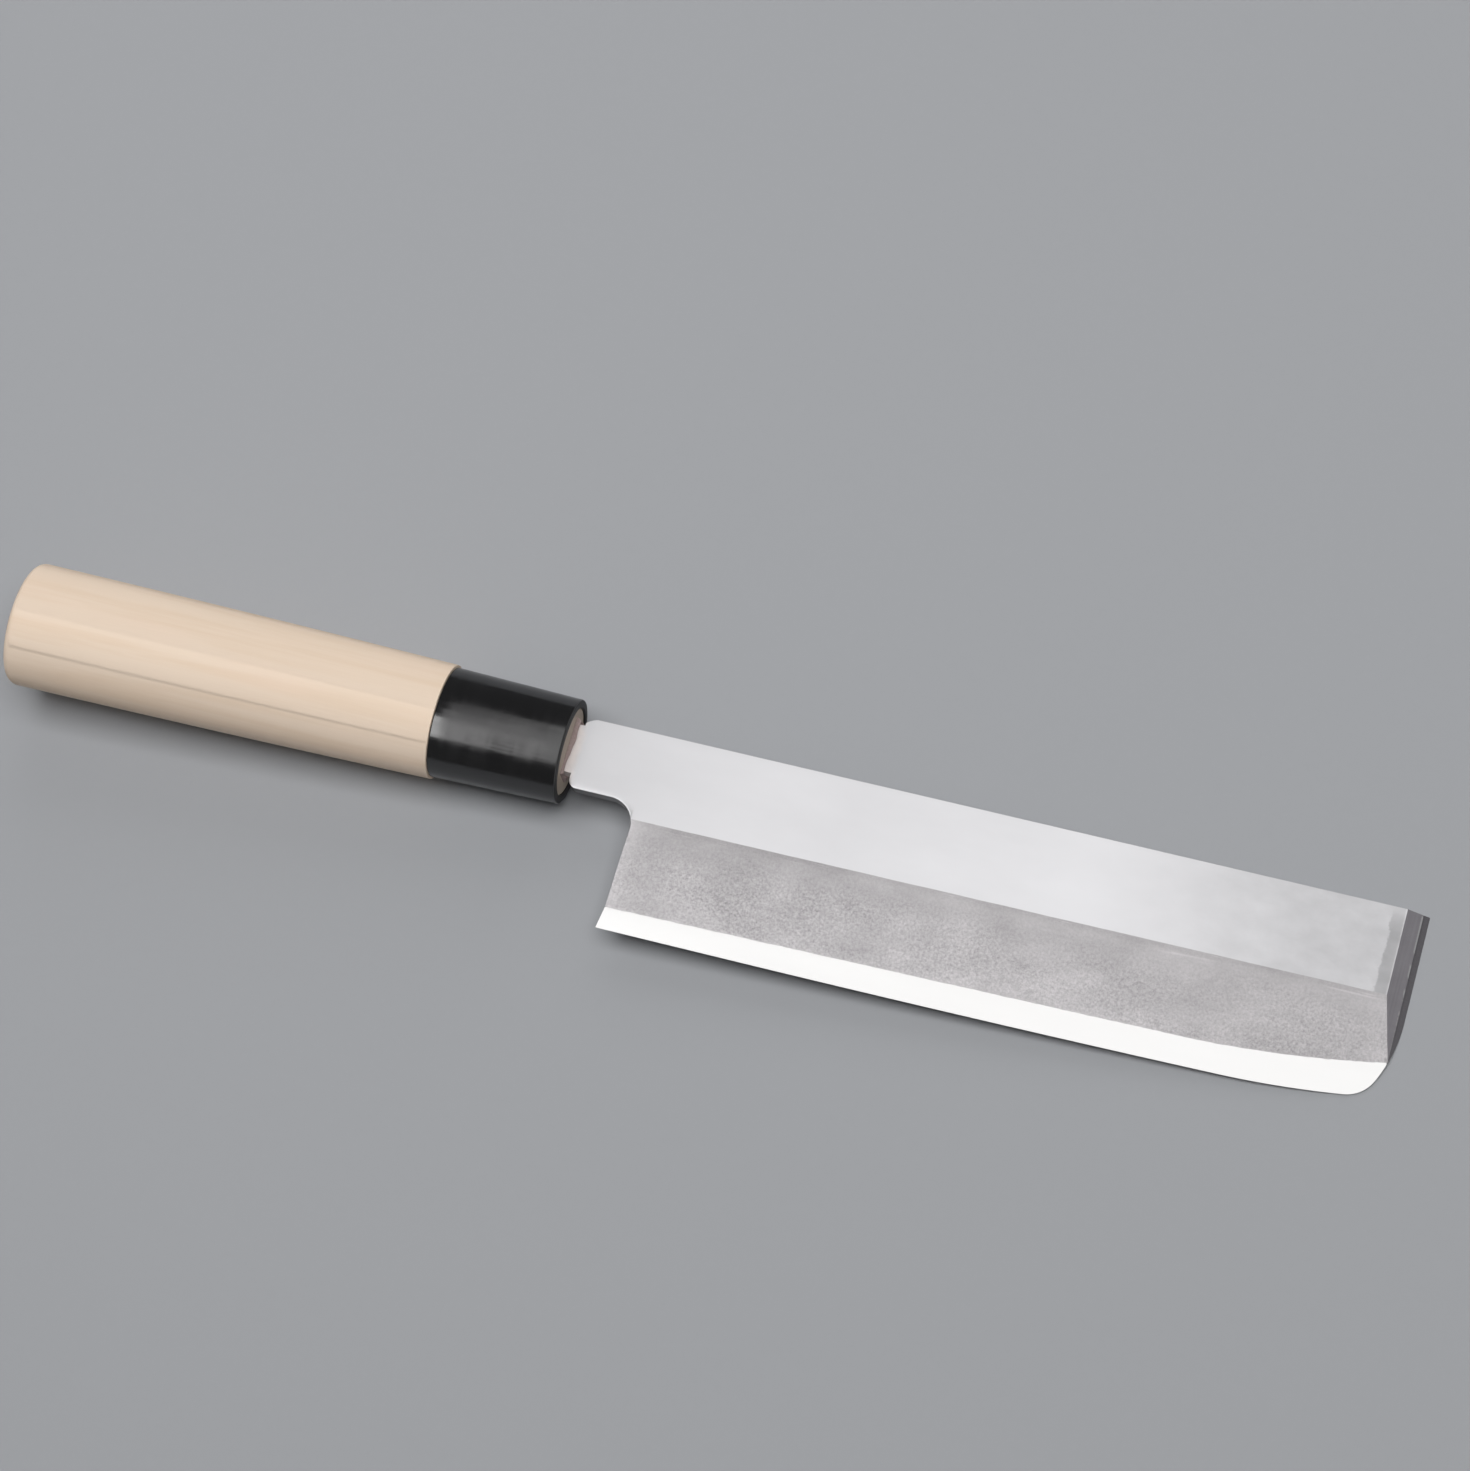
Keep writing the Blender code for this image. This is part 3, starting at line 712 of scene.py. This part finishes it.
def add_ringed(name, rings, finish, closed=True):
    """Makes a piece of quads between neighbouring rings, and from the last to the first if closed."""
    index = np.arange(len(rings) * RING_POINTS).reshape(-1, RING_POINTS)
    near = index if closed else index[:-1]
    far = np.roll(index, -1, axis=0) if closed else index[1:]
    quads = np.stack([near, np.roll(near, -1, axis=1), np.roll(far, -1, axis=1), far], axis=-1)
    points = rings.reshape(-1, 3)
    marks = {"from_front": points[:, 0] / MM}
    add_piece(name, points, quads.reshape(-1, 4), finish, name, marks)


def oval_ring(x, half_width, half_thickness):
    """An ellipse across the handle's axis."""
    y, z = half_width * np.cos(RING_TURNS), half_thickness * np.sin(RING_TURNS)
    return np.stack([np.full(RING_POINTS, x), y, z], axis=-1)


def tang_ring(shape, x, clearance):
    """A rectangle round the tang, grown by a clearance.

    Each point of a circle is pushed out from the centre to the square round it, and the square is
    stretched to the rectangle, so that the corners lie at eighths of a turn.
    """
    across, through = np.cos(RING_TURNS), np.sin(RING_TURNS)
    push = np.maximum(np.abs(across), np.abs(through))
    half_height = shape.tang_half_height(x) + clearance
    half_thickness = shape.thickness(min(x, 0)) / 2 + clearance
    middle = (shape.thickness(min(x, 0)) - shape.size.neck_thickness) / 2
    y, z = TANG_RISE + half_height * across / push, middle + half_thickness * through / push
    return np.stack([np.full(RING_POINTS, x), y, z], axis=-1)


def quarter_round(radius):
    """Steps of a rounded rim, from the end face to the side: how far each is from either of them."""
    turns = np.linspace(0, math.pi / 2, CORNER_STEPS + 1)
    return list(zip(radius * (1 - np.cos(turns)), radius * (1 - np.sin(turns))))


def handle_half_sizes(x):
    """Half width and half thickness of the grip, a straight taper with a parabolic swell."""
    size = handle_settings()
    share = (x + size.length) / (size.length - size.ferrule_length)
    swell = GRIP_SWELL * 4 * share * (1 - share)
    width = between(size.butt_width, size.joint_width, share) + swell
    thickness = between(size.butt_thickness, size.joint_thickness, share) + swell
    return width / 2, thickness / 2


def wood_rings(shape):
    """The wood's rings from the middle of the butt, along the outside and back down the socket.

    The butt is a parabolic dome with a quarter-round rim, and the rim at the ferrule is a smaller one.
    """
    size = handle_settings()
    rim_x = -size.length + BUTT_DOME
    inner = [half - BUTT_ROUND for half in handle_half_sizes(rim_x)]
    rings = []
    for share in np.linspace(0, 1, DOME_STEPS):
        dome = BUTT_DOME * share**2
        rings.append(oval_ring(-size.length + dome, inner[0] * share, inner[1] * share))
    for setback, lost in quarter_round(BUTT_ROUND)[1:]:
        width, thickness = handle_half_sizes(rim_x + setback)
        rings.append(oval_ring(rim_x + setback, width - lost, thickness - lost))
    shoulder = -size.ferrule_length - FIT
    for x in np.linspace(rim_x + BUTT_ROUND, shoulder - JOINT_ROUND, GRIP_STEPS)[1:]:
        rings.append(oval_ring(x, *handle_half_sizes(x)))
    width, thickness = handle_half_sizes(shoulder - JOINT_ROUND)
    for lost, setback in quarter_round(JOINT_ROUND)[1:]:
        rings.append(oval_ring(shoulder - setback, width - lost, thickness - lost))
    front = (size.ferrule_front_width / 2, size.ferrule_front_thickness / 2)
    tenon = [half - FERRULE_WALL - FIT for half in front]
    mouth = 2 * SOLID_GAP + BEDDING_WALL
    blind = tang_ring(shape, -TANG_LENGTH - SOLID_GAP, SOLID_GAP)
    rings += [
        oval_ring(shoulder, *tenon),
        oval_ring(-TENON_RECESS - TENON_CHAMFER, *tenon),
        oval_ring(-TENON_RECESS, *[half - TENON_CHAMFER for half in tenon]),
        tang_ring(shape, -TENON_RECESS, mouth),
        tang_ring(shape, -BEDDING_DEPTH - SOLID_GAP, mouth),
        tang_ring(shape, -BEDDING_DEPTH - SOLID_GAP, SOLID_GAP),
        blind,
        np.broadcast_to(blind.mean(axis=0), blind.shape),
    ]
    return np.stack(rings)


def bedding_rings(shape):
    """A sleeve round the tang, from its inner back corner outwards and back along the bore.

    Its front swells like a squeezed bead, most towards the spine, and is uneven by a few waves.
    """
    uneven = sum(height * np.sin(count * RING_TURNS + shift) for count, height, shift in BEDDING_WAVES)
    outer = 2 * SOLID_GAP + BEDDING_WALL - FIT
    rings = [tang_ring(shape, -BEDDING_DEPTH, FIT), tang_ring(shape, -BEDDING_DEPTH, outer)]
    for share in np.linspace(0, 1, CORNER_STEPS + 1):
        ring = tang_ring(shape, -TENON_RECESS, between(outer, FIT, share))
        bead = math.sin(math.pi * share) * (1 + uneven) + BEDDING_LEAN * share
        ring[:, 0] += BEDDING_SWELL * bead
        rings.append(ring)
    return np.stack(rings)


def ferrule_rings():
    """The collar's rings, from its bore's back end outwards, along the outside and back along the bore."""
    size = handle_settings()
    back = (size.ferrule_back_width / 2, size.ferrule_back_thickness / 2)
    front = (size.ferrule_front_width / 2, size.ferrule_front_thickness / 2)
    bore = (front[0] - FERRULE_WALL, front[1] - FERRULE_WALL)
    rings = [oval_ring(-size.ferrule_length, *bore)]
    for setback, lost in quarter_round(FERRULE_SMALL_ROUND):
        rings.append(oval_ring(-size.ferrule_length + setback, back[0] - lost, back[1] - lost))
    start, stop = -size.ferrule_length + FERRULE_SMALL_ROUND, -FERRULE_ROUND
    for share in np.linspace(0, 1, CORNER_STEPS + 1)[1:]:
        halves = [between(*ends, share) for ends in zip(back, front)]
        rings.append(oval_ring(between(start, stop, share), *halves))
    for lost, setback in quarter_round(FERRULE_ROUND)[1:]:
        rings.append(oval_ring(-setback, front[0] - lost, front[1] - lost))
    rings.append(oval_ring(0, bore[0] + FERRULE_SMALL_ROUND, bore[1] + FERRULE_SMALL_ROUND))
    rings.append(oval_ring(-FERRULE_SMALL_ROUND, *bore))
    return np.stack(rings)


# Shader maths

class Number:
    """A number in a node tree. Python's operators on it add Math nodes."""

    def __init__(self, nodes, socket):
        self.nodes = nodes
        self.socket = socket

    def join(self, operation, *terms):
        return self.nodes.node("ShaderNodeMath", {"operation": operation}, dict(enumerate(terms)))

    def __add__(self, other):
        return self.join("ADD", self, other)

    def __sub__(self, other):
        return self.join("SUBTRACT", self, other)

    def __mul__(self, other):
        return self.join("MULTIPLY", self, other)

    def __radd__(self, other):
        return self.join("ADD", other, self)

    def __rsub__(self, other):
        return self.join("SUBTRACT", other, self)

    def __rmul__(self, other):
        return self.join("MULTIPLY", other, self)

    def __abs__(self):
        return self.join("ABSOLUTE", self)

    def rise(self, start, stop):
        """0 before start, 1 after stop and a smooth climb between. Stop may be the lower of the two."""
        limits = {"Value": self, "From Min": start, "From Max": stop}
        return self.nodes.node("ShaderNodeMapRange", {"interpolation_type": "SMOOTHSTEP"}, limits)


class Nodes:
    """The calls that add nodes to the tree of a material or of the world."""

    def __init__(self, tree):
        self.tree = tree

    def set(self, node, values):
        """Sets or links a node's sockets, by name or by number."""
        for key, value in values.items():
            found = [s for s in node.inputs if s.enabled and s.name == key]
            socket = node.inputs[key] if isinstance(key, int) else found[0]
            if isinstance(value, Number):
                self.tree.links.new(value.socket, socket)
            else:
                socket.default_value = value

    def node(self, kind, settings=None, values=None, output=None):
        """Adds a node: its settings first, then its sockets. Gives its first output or the named one."""
        node = self.tree.nodes.new(kind)
        for key, value in (settings or {}).items():
            setattr(node, key, value)
        self.set(node, values or {})
        found = [s for s in node.outputs if s.enabled and output in (None, s.name)]
        return Number(self, found[0])


class Finish(Nodes):
    """A material with a Principled BSDF."""

    def __init__(self, name, **constants):
        self.material = bpy.data.materials.new(name)
        self.material.use_nodes = True
        super().__init__(self.material.node_tree)
        self.shader = self.tree.nodes["Principled BSDF"]
        self.complete(**constants)

    def mark(self, name):
        """A number that the mesh holds for each point, in millimetres."""
        return self.node("ShaderNodeAttribute", {"attribute_name": name}, output="Fac")

    def knife_space(self, stretch):
        """Places in the knife's own directions, in millimetres, each divided by its stretch."""
        place = self.node("ShaderNodeTexCoord", output="Object")
        tilt = resting_place().to_euler().y
        turn = {"Vector": place, "Rotation": (0, -tilt, 0)}
        level = self.node("ShaderNodeMapping", {"vector_type": "POINT"}, turn)
        scale = [1 / (MM * length) for length in stretch]
        return self.node("ShaderNodeMapping", {"vector_type": "POINT"}, {"Vector": level, "Scale": scale})

    def noise(self, stretch, detail=3, roughness=0.55, distortion=0.0):
        """Noise whose waves are about as long as the stretch, in millimetres along, across and through."""
        values = {"Vector": self.knife_space(stretch), "Scale": 1, "Detail": detail}
        values.update({"Roughness": roughness, "Distortion": distortion})
        return self.node("ShaderNodeTexNoise", None, values)

    def blend(self, factor, first, second):
        """A colour between two colours."""
        ends = [c if isinstance(c, Number) else (*c, 1) for c in (first, second)]
        values = {"Factor": factor, "A": ends[0], "B": ends[1]}
        return self.node("ShaderNodeMix", {"data_type": "RGBA"}, values)

    def shade(self, colour, level):
        """A colour times a number, which may pass 1."""
        spread = self.node("ShaderNodeCombineXYZ", None, {"X": level, "Y": level, "Z": level})
        return self.node("ShaderNodeVectorMath", {"operation": "MULTIPLY"}, {0: colour, 1: spread})

    def bump(self, height, distance, strength, normal=None):
        """A normal from a height, with the distance in metres that a height of 1 stands for."""
        values = {"Height": height, "Distance": distance, "Strength": strength}
        if normal is not None:
            values["Normal"] = normal
        return self.node("ShaderNodeBump", None, values)

    def complete(self, **inputs):
        """Feeds the shader's sockets, named with underscores for spaces, and gives the material."""
        self.set(self.shader, {key.replace("_", " "): value for key, value in inputs.items()})
        return self.material


def iron_finish():
    """Soft iron: satin above the ridge, blasted below it and ground on the slanted end."""
    size = blade_settings()
    finish = Finish("soft_iron")
    below, past, heel = map(finish.mark, ("below_ridge", "past_end", "from_heel"))

    # The ridge's line wavers a little
    waver = finish.noise((9, 9, 9), 2) - 0.5
    below = below + 0.16 * waver
    bevel = below.rise(*BEVEL_LINE)
    end = past.rise(*END_LINE)

    # The blasted grain, its clouds, the darker band below the ridge with its nicks, a broken pale line
    # where an older ridge was ground away, painted shade that darkens slowly towards the heel, and
    # paler bands along the heel, the end and the strip
    grain = finish.noise((0.6, 0.6, 0.6), 3, 0.8) - 0.5
    clouds = finish.noise((14, 7, 7), 3) - 0.5
    drift = finish.noise((22, 12, 12), 2).rise(0.35, 0.65)
    streaks = finish.noise((7, 0.3, 0.3), 3, 0.6)
    ridge_band = below.rise(*RIDGE_BAND)
    coarse = (0.45 + 0.55 * drift) * below.rise(*COARSE_GRAIN)
    nicks = streaks.rise(0.60, 0.70) * ridge_band
    ghost_place = 0.9 + 3.2 * (finish.noise((60, 40, 40), 1) - 0.35)
    ghost = abs(below - ghost_place).rise(*GHOST_LINE) * finish.noise((34, 8, 8), 2).rise(0.50, 0.60)
    haze = 1.0 + (0.50 + 1.25 * coarse) * grain + 0.52 * clouds + 0.20 * ghost
    # The last term is painted shade, darker towards the heel
    haze = haze - 0.08 * ridge_band + 0.22 * nicks - 0.11 * past.rise(*PAINTED_HEEL_SHADE)
    haze = haze + 0.12 * heel.rise(*PALE_HEEL) + 0.08 * below.rise(*LOWER_BEVEL)
    haze = haze + 0.08 * past.rise(*PALE_BEVEL_END)
    bevel_colour = finish.shade(size.bevel_colour, haze)

    # The satin flat, with faint clouds that show more towards the end, a frosted margin there, a painted
    # highlight along the rim of the slanted end, painted shade on the rounded rims and a painted reflection
    # that pales the neck
    satin = finish.noise((26, 11, 11), 3) - 0.5
    mottle = finish.noise((8, 5, 5), 4, 0.6) - 0.5
    near_end = past.rise(*DULLER_FLAT_END)
    teeth = finish.noise((1.1, 1.1, 1.1), 3) - 0.5
    margin = (past + 2.0 * mottle + 1.5 * teeth).rise(*FROSTED_MARGIN) * below.rise(*MARGIN_HEIGHT)
    # Painted highlight along the slanted end's rim
    painted_rim_highlight = past.rise(*PAINTED_RIM_HIGHLIGHT) * (0.5 + mottle)
    level = 0.95 + 0.12 * satin + 0.30 * mottle * near_end - 0.13 * near_end
    # The rim's painted highlight brightens the flat, and painted shade darkens its rounded rims
    level = level - 0.14 * margin + 0.3 * painted_rim_highlight - 0.2 * heel.rise(*PAINTED_RIM_SHADE)
    # Painted reflection that makes the flat paler towards the neck
    level = level + 0.06 * past.rise(*PAINTED_NECK_REFLECTION)
    flat_colour = finish.shade(size.flat_colour, level)

    end_lines = finish.noise((0.5, 30, 0.5), 2)
    end_colour = finish.shade(size.end_colour, 0.85 + 0.3 * end_lines + 0.3 * mottle)

    # A pale, matt smear of filler on the tang next to the ferrule, which also paints the tang's bright
    # reflection there, and painted shade on the walls of neck, choil and heel
    smear_and_sheen = (finish.mark("from_front") + 2.5 * mottle).rise(*FILLER_SMEAR_AND_SHEEN)
    wall_shade = heel.rise(*PAINTED_WALL_SHADE)

    colour = finish.blend(end, finish.blend(bevel, flat_colour, bevel_colour), end_colour)
    colour = finish.blend(smear_and_sheen, colour, SMEAR_AND_SHEEN_COLOUR)
    # Painted shade: the walls are darkened as if in shadow
    colour = finish.blend(wall_shade, colour, finish.shade(size.bevel_colour, WALL_SHADE_LEVEL))
    flat_rough = 0.30 + 0.10 * near_end + 0.08 * margin + 0.25 * smear_and_sheen
    bevel_rough = 0.50 + 0.20 * grain
    rough = between(between(flat_rough, bevel_rough, bevel), 0.34, end)
    scratches = finish.noise((16, 0.12, 0.12), 2)
    relief = finish.bump(grain * bevel * (1 - end), 0.02 * MM, 0.6)
    relief = finish.bump(scratches * (1 - bevel), 0.002 * MM, 0.5, relief)
    return finish.complete(Base_Color=colour, Metallic=1 - 0.8 * smear_and_sheen, Roughness=rough, Normal=relief)


def steel_finish():
    """Hard steel: a polished strip, a dark ground end and a back with a satin hollow and a bright rim."""
    size = blade_settings()
    finish = Finish("hard_steel", Metallic=1.0)
    below, past, hollow = map(finish.mark, ("below_strip", "past_end", "hollow"))
    waver = finish.noise((3.5, 1.2, 1.2), 3) - 0.5
    haze = (below + 0.5 * waver).rise(*STRIP_HAZE)
    end = past.rise(*END_LINE)
    grain = finish.noise((0.36, 0.36, 0.36), 2, 0.7)
    polish = finish.noise((30, 4, 4), 2)
    lines = finish.noise((24, 0.25, 0.25), 2)
    strip = finish.shade(size.strip_colour, 0.97 + 0.06 * polish)
    hazy = finish.shade(size.bevel_colour, 0.95 + 0.35 * grain)
    dark = finish.shade(size.end_colour, 0.45 + 0.25 * lines)
    satin = finish.shade(size.flat_colour, 0.80 + 0.16 * lines)
    hollowed = hollow.rise(*HOLLOW_LINE)
    colour = finish.blend(haze, strip, hazy)
    colour = finish.blend(hollowed, colour, satin)
    colour = finish.blend(end, colour, dark)
    rough = 0.17 + 0.05 * polish + 0.30 * haze
    rough = between(between(rough, 0.32, hollowed), 0.42, end)
    relief = finish.bump(lines * hollowed, 0.003 * MM, 0.5)
    return finish.complete(Base_Color=colour, Roughness=rough, Normal=relief)


def wood_finish():
    """Bare pale wood: soft long grain, fine pores, faintly pink clouds and a darker end of the tenon."""
    size = handle_settings()
    finish = Finish("pale_wood", Specular_IOR_Level=0.35)
    long_grain = finish.noise((85, 4.5, 4.5), 4, 0.6, 0.5)
    fibres = finish.noise((9, 0.16, 0.16), 3, 0.65)
    clouds = finish.noise((45, 11, 11), 2)
    ripples = finish.noise((0.9, 7, 7), 2)
    figure = long_grain.rise(0.40, 0.72)
    colour = finish.blend(figure * 0.4, size.wood_colour, size.wood_grain_colour)
    colour = finish.blend(clouds.rise(0.45, 0.75) * 0.5, colour, PINK_WOOD)
    colour = finish.shade(colour, 0.965 + 0.07 * fibres)
    tenon_end = finish.mark("from_front").rise(*TENON_END)
    colour = finish.blend(0.7 * tenon_end, colour, TENON_END_COLOUR)
    height = 0.55 * fibres + 0.30 * long_grain + 0.15 * ripples
    relief = finish.bump(height, 0.06 * MM, 0.35)
    return finish.complete(Base_Color=colour, Roughness=0.56 + 0.10 * fibres, Normal=relief)


def ferrule_finish():
    """Black gloss, not quite even, with a few fine rubbing marks along it and a duller, cut front."""
    size = handle_settings()
    finish = Finish("black_ferrule", IOR=1.75)
    swell = finish.noise((6, 3, 3), 2)
    rubs = finish.noise((16, 0.5, 0.5), 3, 0.65)
    dull_patches = finish.noise((3.5, 14, 14), 2).rise(0.38, 0.62)
    colour = finish.shade(size.ferrule_colour, 0.8 + 0.5 * rubs)
    relief = finish.bump(swell, 0.05 * MM, 0.35)
    rough = 0.11 + 0.08 * rubs.rise(0.3, 0.7) + 0.08 * dull_patches
    cut = finish.mark("from_front").rise(*FERRULE_CUT)
    rough = between(rough, 0.65, cut)
    return finish.complete(Base_Color=colour, Roughness=rough, Normal=relief)


def bedding_finish():
    """A dull, gritty filler, pinkish brown with darker grains."""
    size = handle_settings()
    finish = Finish("bedding", Roughness=0.8)
    grit = finish.noise((0.35, 0.35, 0.35), 4, 0.7)
    colour = finish.shade(size.bedding_colour, 0.55 + 0.9 * grit)
    relief = finish.bump(grit, 0.12 * MM, 0.8)
    return finish.complete(Base_Color=colour, Normal=relief)


def floor_finish():
    """Plain matt paper, with the faintest tooth."""
    finish = Finish("floor", Specular_IOR_Level=0.1)
    tooth = finish.noise((2, 2, 2), 3)
    colour = finish.shade(stage_settings().floor_colour, 0.99 + 0.02 * tooth)
    return finish.complete(Base_Color=colour, Roughness=0.9)


# Stage

CAMERA_PLACE = (0.244824, -0.264591, 0.962508)
CAMERA_FORWARD = (-0.234061, 0.282112, -0.930391)
CAMERA_RIGHT = (0.949541, 0.271834, -0.156454)
CAMERA_SENSOR = 36.0
CAMERA_NEAR = 0.01
LAMPS = {
    # name: place, what it faces, width and depth
    "softbox": ((0.215, -0.306, 1.35), (0.215, -0.306, 0.0), 1.07, 1.42),
    "ferrule_box": ((-0.76, -0.56, 1.36), (-0.76, -0.56, 0.0), 0.80, 1.08),
    "blade_box": ((0.15, 0.61, 1.35), (0.15, 0.61, 0.0), 0.90, 0.50),
    "key": ((0.0, 0.03, 1.35), (0.0, 0.03, 0.0), 1.50, 0.76),
    "window": ((-0.10, 1.30, 0.80), (0.0, 0.0, 0.0), 1.20, 0.90),
}
BOX_TURN = math.radians(6)  # turn of the main softbox in its own plane

# Where the room's pale ends begin and where they are full, by how far a direction points along the
# knife and by how far it points up, with 1 for straight along or straight up
ENDS_ALONG = (0.38, 0.56)
ENDS_UP = (0.66, 0.50)


def add_camera():
    """A camera whose axes are its right-hand direction, up, and back from where it looks."""
    forward, right = Vector(CAMERA_FORWARD).normalized(), Vector(CAMERA_RIGHT).normalized()
    up = right.cross(forward)
    data = bpy.data.cameras.new("camera")
    data.sensor_fit = "HORIZONTAL"
    data.sensor_width = CAMERA_SENSOR
    data.lens = stage_settings().lens
    data.clip_start = CAMERA_NEAR
    camera = add_object("camera", data)
    axes = Matrix((right, up, -forward)).transposed()
    camera.matrix_world = Matrix.Translation(CAMERA_PLACE) @ axes.to_4x4()
    bpy.context.scene.camera = camera


def add_lamp(name, radiance, turn=0.0, mirrored=True):
    """A rectangular light that faces a place, with the power that gives its face the wanted radiance.

    It either shows in polished surfaces or lights matt ones, so that each can be set by itself.
    """
    place, target, width, depth = LAMPS[name]
    data = bpy.data.lights.new(name, "AREA")
    data.shape = "RECTANGLE"
    data.size, data.size_y = width, depth
    data.energy = radiance * math.pi * width * depth
    lamp = add_object(name, data)
    facing = (Vector(target) - Vector(place)).to_track_quat("-Z", "Y").to_matrix().to_4x4()
    lamp.matrix_world = Matrix.Translation(place) @ facing @ Matrix.Rotation(turn, 4, "Z")
    lamp.visible_camera = False
    lamp.visible_glossy = mirrored
    lamp.visible_diffuse = not mirrored


def add_room_light():
    """Even light from all round.

    Polished surfaces and the camera see a dark studio, whose two ends, beyond the butt and the blade,
    are pale up to about 35 degrees above the horizon.
    """
    stage = stage_settings()
    world = bpy.data.worlds.new("room")
    world.use_nodes = True
    nodes = Nodes(world.node_tree)
    direction = nodes.node("ShaderNodeTexCoord")
    along = nodes.node("ShaderNodeSeparateXYZ", None, {0: direction}, output="X")
    height = nodes.node("ShaderNodeSeparateXYZ", None, {0: direction}, output="Z")
    camera_ray = nodes.node("ShaderNodeLightPath", output="Is Camera Ray")
    glossy_ray = nodes.node("ShaderNodeLightPath", output="Is Glossy Ray")
    ends = abs(along).rise(*ENDS_ALONG) * height.rise(*ENDS_UP)
    studio = stage.gloss_radiance - stage.room_radiance + stage.ends_radiance * ends
    strength = stage.room_radiance + studio * (camera_ray + glossy_ray)
    background = world.node_tree.nodes["Background"]
    nodes.set(background, {"Color": (1, 1, 1, 1), "Strength": strength})
    bpy.context.scene.world = world


def add_floor():
    """A square round the frame's origin, at the table's height."""
    half = stage_settings().floor_size / 2
    corners = [(-half, -half, 0), (half, -half, 0), (half, half, 0), (-half, half, 0)]
    mesh = bpy.data.meshes.new("floor")
    mesh.from_pydata(corners, [], [(0, 1, 2, 3)])
    mesh.materials.append(floor_finish())
    floor = add_object("floor", mesh)


# Operators

class USUBA_OT_stage(bpy.types.Operator):
    """Add the floor, the light and the camera"""

    bl_idname = "usuba.stage"
    bl_label = "Stage"

    def execute(self, context):
        context.scene.view_settings.view_transform = "Standard"
        add_camera()
        stage = stage_settings()
        add_lamp("softbox", stage.box_radiance, BOX_TURN)
        add_lamp("blade_box", stage.box_radiance)
        add_lamp("ferrule_box", stage.ferrule_box_radiance)
        add_lamp("key", stage.key_radiance, mirrored=False)
        add_lamp("window", stage.window_radiance, mirrored=False)
        add_room_light()
        add_floor()
        return {"FINISHED"}


class USUBA_OT_blade_iron(bpy.types.Operator):
    """Add the blade's soft iron, with its neck and tang"""

    bl_idname = "usuba.blade_iron"
    bl_label = "Blade iron"

    def execute(self, context):
        grid = BladeGrid(BladeShape())
        cells = grid.cells.copy()
        cells[grid.strip_row:] = False
        cells[:, grid.lamination_column:] = False
        bottom = np.where(np.arange(grid.x.shape[1]) < grid.steel_column, grid.back, grid.border)
        add_plate("blade_iron", grid, grid.face, bottom, cells, iron_finish())
        return {"FINISHED"}


class USUBA_OT_edge_steel(bpy.types.Operator):
    """Add the hard steel layer, with its strip along the edge and its hollow back"""

    bl_idname = "usuba.edge_steel"
    bl_label = "Edge steel"

    def execute(self, context):
        grid = BladeGrid(BladeShape())
        cells = grid.cells.copy()
        cells[:, :grid.steel_column] = False
        add_plate("edge_steel", grid, grid.border, grid.back, cells, steel_finish())
        return {"FINISHED"}


class USUBA_OT_handle_wood(bpy.types.Operator):
    """Add the wooden handle, with its tenon and the tang's socket"""

    bl_idname = "usuba.handle_wood"
    bl_label = "Handle wood"

    def execute(self, context):
        add_ringed("handle_wood", wood_rings(BladeShape()), wood_finish(), closed=False)
        return {"FINISHED"}


class USUBA_OT_ferrule(bpy.types.Operator):
    """Add the black collar on the tenon"""

    bl_idname = "usuba.ferrule"
    bl_label = "Ferrule"

    def execute(self, context):
        add_ringed("ferrule", ferrule_rings(), ferrule_finish())
        return {"FINISHED"}


class USUBA_OT_tang_bedding(bpy.types.Operator):
    """Add the filler round the tang"""

    bl_idname = "usuba.tang_bedding"
    bl_label = "Tang bedding"

    def execute(self, context):
        add_ringed("tang_bedding", bedding_rings(BladeShape()), bedding_finish())
        return {"FINISHED"}


OPERATORS = (
    USUBA_OT_stage,
    USUBA_OT_blade_iron,
    USUBA_OT_edge_steel,
    USUBA_OT_handle_wood,
    USUBA_OT_ferrule,
    USUBA_OT_tang_bedding,
)
SETTINGS = {
    "usuba_blade": UsubaBladeSettings,
    "usuba_handle": UsubaHandleSettings,
    "usuba_stage": UsubaStageSettings,
}


class USUBA_PT_pieces(bpy.types.Panel):
    """Settings and pieces of the knife"""

    bl_idname = "USUBA_PT_pieces"
    bl_label = "Usuba knife"
    bl_space_type = "VIEW_3D"
    bl_region_type = "UI"
    bl_category = "Usuba"

    def draw(self, context):
        for name, group in SETTINGS.items():
            box = self.layout.box()
            for prop in group.__annotations__:
                box.prop(getattr(context.scene, name), prop)
        for operator in OPERATORS:
            self.layout.operator(operator.bl_idname)


def register():
    for name, group in SETTINGS.items():
        bpy.utils.register_class(group)
        setattr(bpy.types.Scene, name, PointerProperty(type=group))
    for cls in (*OPERATORS, USUBA_PT_pieces):
        bpy.utils.register_class(cls)


def unregister():
    for cls in (USUBA_PT_pieces, *reversed(OPERATORS)):
        bpy.utils.unregister_class(cls)
    for name, group in reversed(SETTINGS.items()):
        delattr(bpy.types.Scene, name)
        bpy.utils.unregister_class(group)


def main():
    register()
    for operator in OPERATORS:
        getattr(bpy.ops.usuba, operator.bl_idname.split(".")[1])()


if __name__ == "__main__":
    main()
